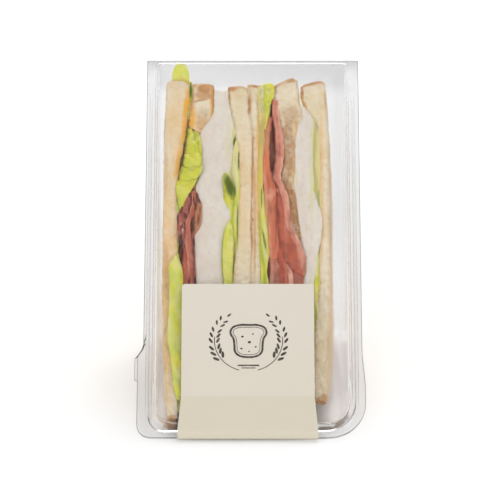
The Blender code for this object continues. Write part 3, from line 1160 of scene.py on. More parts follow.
@dataclass(frozen=True)
class Slab:
    """The solid body of one layer, lofted from one tip of its cut to the other."""

    layer: Layer
    left_seam: Seam
    right_seam: Seam
    deep_left: float
    seed: float
    spacing: float = 0.48
    tip_run: float = 3.0
    strip_points: int = 24
    hidden_rows: int = 9
    open_rows: int = 58
    crust_points: int = 12

    @property
    def shape(self) -> SlabShape:
        """Return what its shape takes from its food."""
        return BREAD_SHAPE if self.layer.food is Food.BREAD else FILLING_SHAPE

    def heights(self) -> Array:
        """Return the places of the rings up the slope, closer together at the tips.

        Returns:
            Heights, the lowest first.
        """
        low, high = self.layer.outline.ends
        close = self.tip_run * (np.arange(1, 9) / 8.0) ** 2
        inner = np.linspace(low + self.tip_run, high - self.tip_run, int((high - low) / self.spacing))[1:-1]
        return np.concatenate(([low + 0.01], low + close, inner, high - close[::-1], [high - 0.01]))

    def face(self, side: int, v: Array, n: Array) -> Array:
        """Return where one of the layer's two faces runs.

        Args:
            side: -1 for the left face and 1 for the right.
            v: Heights of the points.
            n: Levels of the points.

        Returns:
            Places across the pack.
        """
        depth = np.clip(CUT_LEVEL - n, 0.0, None)
        share = np.interp(depth, DEPTHS, CUT_SHARES)
        if side < 0:
            at_cut, deep = self.left_seam.at(v), self.deep_left
        else:
            at_cut = self.right_seam.at(v) - LAYER_GAP * (1.0 - share)
            deep = self.deep_left + self.layer.deep - LAYER_GAP
        inside = np.clip(self.layer.outline.crust_distance(v, n) / RIM_WIDTH, 0.0, 1.0)
        drop = self.shape.rim_drop * (1.0 - inside) ** 2 * smooth(depth / 5.0)
        return at_cut * share + deep * (1.0 - share) - side * drop

    def side_points(self, side: int, v: Array, bottom: Array, rows: int) -> Array:
        """Return one face's points, from the cut down to the crust.

        Args:
            side: -1 for the left face and 1 for the right.
            v: Heights of the rings.
            bottom: Level of the crust's shoulder in each ring.
            rows: How many points the face has.

        Returns:
            Array of rings by rows by three coordinates.
        """
        seen = rows == self.open_rows
        shares = ((np.arange(rows) + 0.6) / (rows - 0.4)) ** (1.15 if seen else 1.8)
        start = CUT_LEVEL - np.minimum(0.25, 0.3 * (CUT_LEVEL - bottom))[:, None]
        n = start + (bottom[:, None] - start) * shares
        across = np.broadcast_to(v[:, None], n.shape)
        points = np.stack((self.face(side, across, n), across, n), -1)
        points[..., 0] += self.shape.rough * lumps(points, (40.0, 3.5, 3.5), 3, self.seed)
        if seen:
            points[..., 0] += side * -0.3 * pores(points, 2.6, 0.5, self.seed)
            points[..., 0] += 0.35 * lumps(points, (60.0, 24.0, 24.0), 2, self.seed + 4.0)
        return points

    def crust_points_of(self, v: Array, bottom: Array, radius: Array) -> Array:
        """Return the points of the rounded rim, from the right face to the left.

        Args:
            v: Heights of the rings.
            bottom: Level of the rim's lowest line in each ring.
            radius: Radius of the rim's two shoulders in each ring.

        Returns:
            The rings' points.
        """
        count = self.crust_points
        turn = np.linspace(0.0, math.pi, count + 2)[1:-1]
        level = np.broadcast_to(bottom, v.shape)
        right = self.face(1, v, level + radius)
        left = self.face(-1, v, level + radius)
        centre, half = (left + right) / 2.0, np.maximum((right - left) / 2.0, 0.15)
        flat = np.maximum(half - radius / ROOT2, 0.0)
        corner = half - flat
        across = np.cos(turn)[None, :]
        x = centre[:, None] + np.sign(across) * np.minimum(
            flat[:, None] * np.abs(across) ** 0.35, half[:, None]) + corner[:, None] * across
        n = level[:, None] + radius[:, None] * (1.0 - np.sin(turn)[None, :] ** 0.8)
        return spread(x, v[:, None], n)

    def relief(self, points: Array, side: Array, proud: Array) -> tuple[Array, Array]:
        """Return how far the points of the cut stand out, and how strong its folds are there.

        Args:
            points: Array of points of the cut.
            side: Where they stand between the layer's edges, from -1 to 1.
            proud: How far the layer stands out as a whole.

        Returns:
            Two values for each point.
        """
        food, seed = self.layer.food, self.seed
        fold = np.zeros(points.shape[:2])
        if food is Food.BREAD:
            rise = -0.22 * np.abs(side) ** 8 + proud
            rise = rise + 0.28 * lumps(points, 6.0, 3, seed) + 0.14 * lumps(points, 1.7, 3, seed)
            rise = rise - 0.34 * pores(points, 2.3, 0.48, seed) - 0.16 * pores(points, 1.1, 0.5, seed + 3.0)
            for wet in self.layer.patches:
                if wet.mask == "soak":
                    rise = rise + 0.5 * wet.over(points) * lumps(points, 1.5, 2, seed + 5.0)
        elif food is Food.CHICKEN_MAYO:
            dome = 1.0 - np.abs(side) ** 5.0
            fold = lumps(points, (3.6, 7.0, 6.0), 3, seed)
            rise = dome * (proud - 0.3 + 0.4 * fold + 0.2 * lumps(points, 1.9, 2, seed))
        elif food is Food.LETTUCE:
            dome = 1.0 - np.abs(side) ** 5.0
            wander = lumps(points, (60.0, 22.0, 60.0), 2, seed)
            fold = np.sin(points[..., 0] * 1.5 + 3.0 * wander + 0.05 * points[..., 1])
            rise = -0.2 + dome * (proud + 0.4 * fold + 0.2 * lumps(points, (1.2, 4.0, 3.0), 3, seed))
        else:
            dome = np.sqrt(np.clip(1.0 - np.abs(side) ** 2.6, 0.0, 1.0))
            wander = lumps(points, (60.0, 14.0, 60.0), 2, seed)
            fold = np.sin(points[..., 0] * 2.1 + 4.0 * wander)
            rise = proud + dome * (0.6 * fold + 0.3 * lumps(points, (1.4, 5.0, 3.0), 3, seed))
        for dent in self.layer.patches:
            if dent.mask == "dent":
                rise = rise - dent.over(points)
        return rise, fold

    def strip(self, v: Array, depth: Array) -> tuple[Array, Array]:
        """Return the points of the cut from left to right, and how strong its folds are there.

        Args:
            v: Heights of the rings.
            depth: How deep the slice is below the cut in each ring.

        Returns:
            The rings' points, and one fold value for each point.
        """
        layer = self.layer
        level = np.full_like(v, CUT_LEVEL)
        left, right = self.face(-1, v, level), self.face(1, v, level)
        width = (right - left)[:, None]
        line = spread(0.0, v, 0.0)
        stray = [self.shape.wobble * lumps(line, 2.8, 3, self.seed + part) for part in (1.0, 2.0)]
        left = left - (0.0 if layer.outer_left else STRIP_OVERLAP) + stray[0]
        right = right + (0.0 if layer.outer_right else STRIP_OVERLAP) + stray[1]
        share = (1.0 - np.cos(np.linspace(0.0, math.pi, self.strip_points))) / 2.0
        x = left[:, None] + (right - left)[:, None] * share
        points = spread(x, v[:, None], CUT_LEVEL)
        proud = layer.proud
        if proud < 0.0:
            proud = proud * smooth((width - 0.6) / 2.4)
        proud = proud - 1.0 * smooth((1.5 - width) / 1.2)
        rise, fold = self.relief(points, 2.0 * share - 1.0, proud)
        points[..., 2] = CUT_LEVEL + rise * smooth(depth / 4.0)[:, None]
        return points, fold

    def add_to(self, skin: Skin) -> None:
        """Add the slab to a piece, with the masks of its food.

        Args:
            skin: The piece that it belongs to.
        """
        layer = self.layer
        v = self.heights()
        bottom = layer.outline.bottom(v)
        angle = np.arctan2(bottom - CUT_LEVEL, v - SLOPE_LENGTH / 2.0)
        draw_in = 1.0 - layer.wave * (0.5 + 0.5 * np.sin(11.0 * angle + self.seed))
        depth = (CUT_LEVEL - bottom) * draw_in
        bottom = CUT_LEVEL - depth
        middle = np.full_like(v, CUT_LEVEL - 20.0)
        thick = np.maximum(self.face(1, v, middle) - self.face(-1, v, middle), 0.3)
        radius = np.minimum(np.minimum(self.shape.shoulder, thick / 2.0), 0.25 * depth)
        shoulder = bottom + radius
        left_rows = self.open_rows if layer.outer_left else self.hidden_rows
        right_rows = self.open_rows if layer.outer_right else self.hidden_rows
        left = self.side_points(-1, v, shoulder, left_rows)[:, ::-1]
        right = self.side_points(1, v, shoulder, right_rows)
        strip, fold = self.strip(v, depth)
        rim = self.crust_points_of(v, bottom, radius)
        if layer.food is Food.BREAD:
            rim[..., 2] += 0.12 * lumps(rim, 4.0, 3, self.seed)
        rings = np.concatenate((left, strip, right, rim), axis=1)
        folds = np.zeros(rings.shape[:2])
        folds[:, left_rows:left_rows + self.strip_points] = fold
        masks = self.masks(rings, folds)
        self.shape_tips(rings)
        self.close_tips(rings, left_rows)
        skin.add_loft(rings, masks, self.cap(left_rows, rings.shape[1]))

    def shape_tips(self, rings: Array) -> None:
        """Slant and roughen both tips of a slice, so that they don't end in straight lines.

        Args:
            rings: Its rings of points, changed in place.
        """
        layer = self.layer
        if layer.food is not Food.BREAD:
            return
        low, high = layer.outline.ends
        v, level = rings[..., 1], rings[..., 2]
        middle_x = (self.face(1, v, level) + self.face(-1, v, level)) / 2.0
        side = np.clip((rings[..., 0] - middle_x) / 4.5, -1.1, 1.1)
        upper = smooth((level - CUT_LEVEL + 14.0) / 10.0)
        rough = np.stack((rings[..., 0], 0.2 * v, level), -1)
        ragged = 0.8 * lumps(rough, (2.8, 9.0, 6.0), 3, self.seed + 8.0)
        near_high, near_low = smooth((v - high + 9.0) / 9.0), smooth((low + 9.0 - v) / 9.0)
        rings[..., 1] += near_high * upper * (layer.slant * side - 0.9 * side ** 4 + ragged - 0.2)
        rings[..., 1] -= near_low * upper * (0.4 * side - 0.9 * side ** 4 + ragged - 0.2)

    def close_tips(self, rings: Array, start: int) -> None:
        """Draw the first and the last ring in to one line, so that their caps have no width.

        Args:
            rings: Its rings of points, changed in place.
            start: Place in a ring of the first point of the cut.
        """
        stop = start + self.strip_points
        chosen = self.matching()
        for ring in (rings[0], rings[-1]):
            cut = ring[start:stop]
            for axis in range(3):
                cut[:, axis] = np.interp(np.arange(self.strip_points), chosen, cut[chosen, axis])
            under = cut[chosen][::-1] - (0.0, 0.0, 0.04)
            ring[-self.crust_points:] = under
            ring[:start] = under[-1] + (cut[0] - under[-1]) * np.linspace(0.1, 0.9, start)[:, None]
            rows = len(ring) - self.crust_points - stop
            ring[stop:stop + rows] = cut[-1] + (under[0] - cut[-1]) * np.linspace(0.1, 0.9, rows)[:, None]

    def matching(self) -> Array:
        """Return the points of the cut that stand over the points of the rim, from left to right."""
        return np.linspace(0, self.strip_points - 1, self.crust_points).round().astype(int)

    def cap(self, start: int, count: int) -> list[list[int]]:
        """Return the small faces between the cut and the rim that close a tip.

        Args:
            start: Place in a ring of the first point of the cut.
            count: Points in a ring.

        Returns:
            The faces, as places in the ring.
        """
        over = (start + self.matching()).tolist()
        stop, rim = start + self.strip_points, count - self.crust_points
        faces = [[count - 1, *range(start + 1)], [*range(stop - 1, rim + 1)]]
        for step, (here, following) in enumerate(zip(over, over[1:])):
            faces.append([*range(here, following + 1), count - 2 - step, count - 1 - step])
        return faces

    def bread_masks(self, rings: Array) -> Masks:
        """Return where a slice is baked.

        Args:
            rings: Its rings of points.

        Returns:
            The mask of its crust, paler in places where the cut runs through it.
        """
        inside = self.layer.outline.crust_distance(rings[..., 1], rings[..., 2])
        ragged = inside + 0.5 * lumps(rings, 3.0, 3, self.seed + 6.0)
        crust = np.maximum(smooth((1.9 - ragged) / 0.9), 0.2 * smooth((5.0 - ragged) / 4.0))
        at_cut = smooth((rings[..., 2] - CUT_LEVEL + 1.6) / 1.2)
        pale = smooth((lumps(rings, 4.0, 2, self.seed + 11.0) + 0.3) / 0.5)
        crust *= 1.0 - at_cut * (0.2 + 0.45 * pale)
        level = np.full_like(rings[..., 0], CUT_LEVEL)
        from_left = rings[..., 0] - self.face(-1, rings[..., 1], level)
        from_right = self.face(1, rings[..., 1], level) - rings[..., 0]
        near = 1.3 - np.minimum(from_left, from_right)
        toasted = smooth((near + 0.7 * lumps(rings, 2.2, 3, self.seed)) / 1.3)
        return {"crust": np.maximum(crust, self.layer.toast * toasted)}

    def filling_masks(self, rings: Array, folds: Array) -> Masks:
        """Return the masks that a filling has before its patches, with painted shade in the valleys of its
        folds.

        Args:
            rings: Its rings of points.
            folds: How far each point stands on a fold, from -1 to 1.

        Returns:
            The masks of the layer's food that aren't 0 all over.
        """
        food, seed = self.layer.food, self.seed + 6.0
        if food is Food.LETTUCE:
            blade = lumps(rings, (2.5, 9.0, 9.0), 3, seed)
            green = np.clip(0.78 + 0.55 * blade - 0.25 * folds, 0.0, 1.0)
            # Painted shade: deep darkens the valleys of the folds.
            return {"green": green, "deep": 0.3 * np.clip(-folds, 0.0, 1.0) ** 2}
        if food is Food.BACON:
            streak = lumps(rings, (1.0, 12.0, 6.0), 3, seed)
            # Painted shade: dark rises in the valleys of the folds.
            return {"fat": smooth((streak - 0.18) / 0.3) * 0.8, "dark": np.clip(0.12 - 0.3 * folds, 0.0, 0.5)}
        lean = smooth((lumps(rings, (1.6, 5.0, 4.0), 3, seed) - 0.05) / 0.5) * 0.7
        # Painted shade: shade rises in the valleys of the folds.
        return {"lean": lean, "shade": 0.35 * np.clip(-folds - 0.25, 0.0, 1.0)}

    def masks(self, rings: Array, folds: Array) -> Masks:
        """Return the finish masks of the slab, with its patches of stain, painted shade and painted
        highlight.

        Args:
            rings: Its rings of points.
            folds: How far each point stands on a fold, from -1 to 1.

        Returns:
            The masks of the layer's food.
        """
        layer = self.layer
        masks = {name: np.zeros(rings.shape[:2]) for name in MASKS[layer.food]}
        bread = layer.food is Food.BREAD
        masks.update(self.bread_masks(rings) if bread else self.filling_masks(rings, folds))
        for patch in layer.patches:
            if patch.mask == "dent":
                continue
            value = patch.over(rings)
            if patch.strength >= 0.0:
                masks[patch.mask] = np.maximum(masks[patch.mask], value)
            else:
                masks[patch.mask] = masks[patch.mask] * (1.0 + value)
        return masks


DARK_LEAF = (
    Fold(
        edges=((129, -12.5, -11), (126, -13, -9.5), (122, -12.5, -8), (119, -11, -7.8), (116, -9.2, -8.2)),
        levels=((129, -3.6), (123, -3), (116, -3.8)), green=1, thickness=0.6, crown=0.3, roll=0.3,
        ruffle=0.1, ends=1.2, crinkle=0.2, seed=16.3),
    Fold(
        edges=((106, -10.5, -9.5), (100, -12, -8.2), (92, -12.8, -8), (84, -12.8, -8.2), (76, -12.2, -8.8),
               (60, -12, -9), (45, -11.5, -9.5)),
        levels=((106, -4.2), (96, -3.4), (60, -3.5), (45, -4.2)), green=0.8, thickness=0.7, crown=0.4,
        roll=-0.3, ruffle=0.2, ends=3, crinkle=0.35, seed=17.1))

LEAF_A1 = (
    Fold(
        edges=((150, -26.2, -24.4), (147, -26.4, -22.7), (143, -26.4, -22.2), (138, -25.8, -21.9),
               (133, -25.2, -21.9)),
        levels=((150, -5), (143, -4.1), (133, -3.6)), green=1, deep=0.22, thickness=0.7, crown=0.5,
        roll=0.3, crinkle=0.7, seed=6.9),
    Fold(
        edges=((127.5, -32.4, -23.4), (124, -33.3, -24.6), (121, -33.4, -26), (117, -33, -28.2),
               (113, -32.3, -29.9), (110.5, -31.6, -30.9)),
        levels=((127.5, -4.4), (121, -3.5), (110.5, -4)), green=0.95, thickness=0.7, crown=0.4, roll=0.5,
        crinkle=1, seed=1.3),
    Fold(
        edges=((133.5, -31, -22), (131, -31.6, -21.7), (128.5, -32.2, -22.3), (126.5, -32.4, -23.4),
               (124.6, -31.6, -25.4)),
        levels=((133.5, -4), (129, -2.8), (124.6, -3.2)), green=0.95, thickness=0.7, crown=0.3, roll=0.6,
        ruffle=0.35, ruffle_length=5, ends=1, crinkle=1.2, seed=2.9),
    Fold(
        edges=((151.8, -28.7, -27.5), (149, -29.2, -25.8), (145, -29.6, -24.5), (140, -29.9, -23.7),
               (136, -30.1, -22.6), (133, -30.3, -22.1), (130.8, -29.2, -23.4)),
        levels=((151.8, -5.2), (145, -3.8), (138, -2.9), (133, -2), (130.8, -2.4)), green=1, thickness=0.7,
        crown=0.35, roll=0.5, ruffle=0.4, ruffle_length=8, ends=0.8, crinkle=1.4, seed=2.1),
    Fold(
        edges=((89, -33.4, -32.6), (86, -35, -31.5), (82, -36.3, -30.3), (76, -35.8, -29.8),
               (62, -36, -29.5), (50, -36.5, -29.3), (40, -35, -29.2), (26, -33.5, -29.3), (20, -32, -30)),
        levels=((89, -3.9), (80, -2.5), (60, -1.9), (35, -1.9), (20, -2.9)), green=0.75, thickness=1,
        crown=0.7, roll=-0.1, ruffle_length=13, ends=1, seed=3.7),
    Fold(
        edges=((172, -35, -28), (175, -35.9, -28), (177.5, -35.6, -28.1), (179.5, -34.9, -28.6),
               (180.8, -34.2, -29.2), (181.6, -33.2, -30.2)),
        levels=((172, -9.6), (175, -6.6), (179, -2.7), (181.6, -0.8)), green=0.75, crown=0.5, ruffle=0.12,
        ends=0.3, seed=4.4),
    Fold(
        edges=((175, -28.5, -26.8), (172, -28.2, -26.3), (169, -27.9, -26.5), (165, -27.5, -27)),
        levels=((175, -5.2), (165, -4.4)), green=1, thickness=0.5, crinkle=0.2, seed=5.8))

RASHERS_A = (
    Fold(
        edges=((120, -27.5, -25.3), (115, -29.5, -26), (111, -31.5, -26.8), (106, -32.8, -27.6),
               (101, -32.8, -28.2), (97, -31.8, -28.8)),
        levels=((120, -4.2), (112, -3.4), (97, -3.9)), fat=0.12, dark=0.18, roll=-0.3, crinkle=0.6,
        veins=0.8, seed=5.2),
    Fold(
        edges=((119.5, -25.5, -24), (115, -25.8, -22.4), (111, -26, -21.8), (106, -26.2, -21.9),
               (102, -26.4, -22.8), (99, -26, -24.2)),
        levels=((119, -3.9), (110, -3.3), (99, -3.9)), dark=0.2, seared=0.75, thickness=0.7, roll=-0.4,
        crinkle=0.5, rim=0.4, veins=0.7, seed=6.6),
    Fold(
        edges=((104, -31.5, -29.5), (100, -32.5, -28.3), (96, -32.2, -28), (92, -30.8, -28.6)),
        levels=((104, -3.6), (98, -3), (92, -3.9)), fat=0.2, dark=0.15, thickness=0.7, crown=0.3,
        crinkle=0.8, veins=0.9, seed=7.2),
    Fold(
        edges=((94, -30, -27.5), (84, -30.3, -27.2), (60, -30, -26.8), (47, -29.5, -27)),
        levels=((94, -4.3), (86, -3.6), (60, -3.5), (47, -4)), dark=0.15, glow=0.25, roll=-0.3, crinkle=0.5,
        rim=0.45, veins=0.9, seed=7.9),
    Fold(
        edges=((101, -26.8, -24.8), (95, -27, -24.9), (88, -26.5, -24.6), (76, -26, -24.2),
               (60, -25.5, -23.8)),
        levels=((101, -4.3), (90, -3.9), (60, -4.2)), fat=0.2, dark=0.35, crown=0.3, crinkle=0.5, veins=0.8,
        seed=10.6),
    Fold(
        edges=((120, -26.2, -24.8), (113, -26.6, -24.4), (108, -27.8, -25.4), (103, -29.2, -26.8),
               (98, -29.5, -26.7), (93, -28.9, -26), (87, -28.2, -25.4), (76, -27.8, -25.2),
               (47, -27.3, -25.2)),
        levels=((120, -3.4), (110, -2.7), (96, -2.6), (80, -3.1), (47, -3.8)), fat=0.05, dark=0.12,
        glow=0.15, crown=0.25, roll=0.3, crinkle=0.6, rim=-0.6, veins=0.9, seed=8.3))

RASHERS_B = (
    Fold(
        edges=((88, 7.8, 12), (82, 7.6, 12), (60, 8, 12.2), (46, 8.4, 12)),
        levels=((88, -4.8), (80, -4.2), (46, -4.8)), fat=0.35, dark=0.1, roll=0.25, veins=0.35, seed=9.1),
    Fold(
        edges=((99, 11.2, 14.2), (91, 11.2, 15.4), (82, 11.2, 16.6), (60, 11.7, 16.4), (46, 12, 16)),
        levels=((99, -4.8), (86, -4.2), (46, -4.7)), glow=0.15, roll=-0.3, rim=0.3, veins=0.35, seed=10.4),
    Fold(
        edges=((86, 16, 18), (79, 17, 22.5), (60, 17, 21.8), (46, 16.8, 21)),
        levels=((86, -5), (76, -4.5), (46, -4.8)), fat=0.2, dark=0.2, crown=0.3, veins=0.35, seed=11.2),
    Fold(
        edges=((85, 15, 16.3), (80, 15.6, 17.8), (75, 15.8, 18.3), (50, 16, 18)),
        levels=((85, -4.2), (76, -3.7), (50, -4.3)), fat=0.95, thickness=0.7, crown=0.3, crinkle=0.2,
        veins=0.35, seed=12.7),
    Fold(
        edges=((157, 7.3, 9.2), (152, 5.6, 8.9), (146, 4.8, 8.3), (135, 4.8, 8), (130, 4.9, 8.6),
               (125, 5, 10), (118, 5.4, 10.8), (110, 5.7, 11), (104, 6.5, 11.2), (98, 7.3, 11.6),
               (92, 7.6, 11.8), (87, 7.8, 11.8)),
        levels=((157, -4.9), (145, -4.3), (120, -3.8), (100, -4), (87, -4.4)), fat=0.12, glow=0.6, roll=0.3,
        ruffle=0.15, ruffle_length=15, crinkle=0.35, rim=-0.35, veins=0.35, seed=13.5),
    Fold(
        edges=((128, 9, 12), (120, 10.2, 14.5), (112, 10.4, 16), (105, 10.6, 16.8), (99, 11.4, 18.2),
               (95, 12.2, 20.2), (91, 13, 21.8), (87, 14, 23), (83, 16.5, 23.4), (79, 20.8, 23.2)),
        levels=((128, -4.6), (112, -4), (95, -3.3), (85, -3.1), (79, -4)), glow=0.25, thickness=0.9,
        crown=0.25, roll=0.4, ruffle=0.2, ruffle_length=13, crinkle=0.4, rim=0.35, veins=0.35, seed=14.8),
    Fold(
        edges=((166, 8.6, 11.8), (158, 9, 12.2), (153, 9.8, 12.9), (147, 10.4, 14), (140, 10.4, 14.3),
               (134, 10, 13.9), (129, 9.4, 13.1), (126, 9.2, 12.8), (122, 11.2, 14.3), (117, 12.8, 16.1),
               (111, 13.9, 16.7), (104, 14.6, 17.3), (99, 16, 19.1), (93, 18.6, 21.8), (87, 21, 23.5),
               (81, 21.6, 23.5)),
        levels=((166, -4.9), (150, -4.1), (126, -3), (110, -3.1), (95, -2.8), (81, -3.3)), fat=0.45,
        glow=0.12, roll=-0.3, ruffle=0.12, crinkle=0.4, rim=0.4, veins=0.35, seed=15.9))

TOP_LEAF_B = (
    Fold(
        edges=((173, 2.9, 6.4), (168, 2.5, 6.4), (160, 2.9, 6.2), (150, 3.3, 5.9), (140, 3.5, 5.4)),
        levels=((173, -4.7), (165, -4.3), (140, -4.5)), green=0.35, golden=0.3, thickness=0.6, crown=0.3,
        ruffle=0.15, ends=0.6, crinkle=0.4, seed=7.7),
    Fold(
        edges=((173.6, 5.4, 9.4), (171, 5, 10.1), (167, 5, 9.9), (163, 4.8, 8.2), (157, 4.4, 7.4),
               (150, 3.9, 6.2)),
        levels=((173.6, -4.5), (168, -3.9), (150, -4.3)), green=0.85, thickness=0.7, crown=0.25, roll=0.4,
        ruffle=0.35, ruffle_length=9, ends=0.7, crinkle=0.7, seed=6.1))

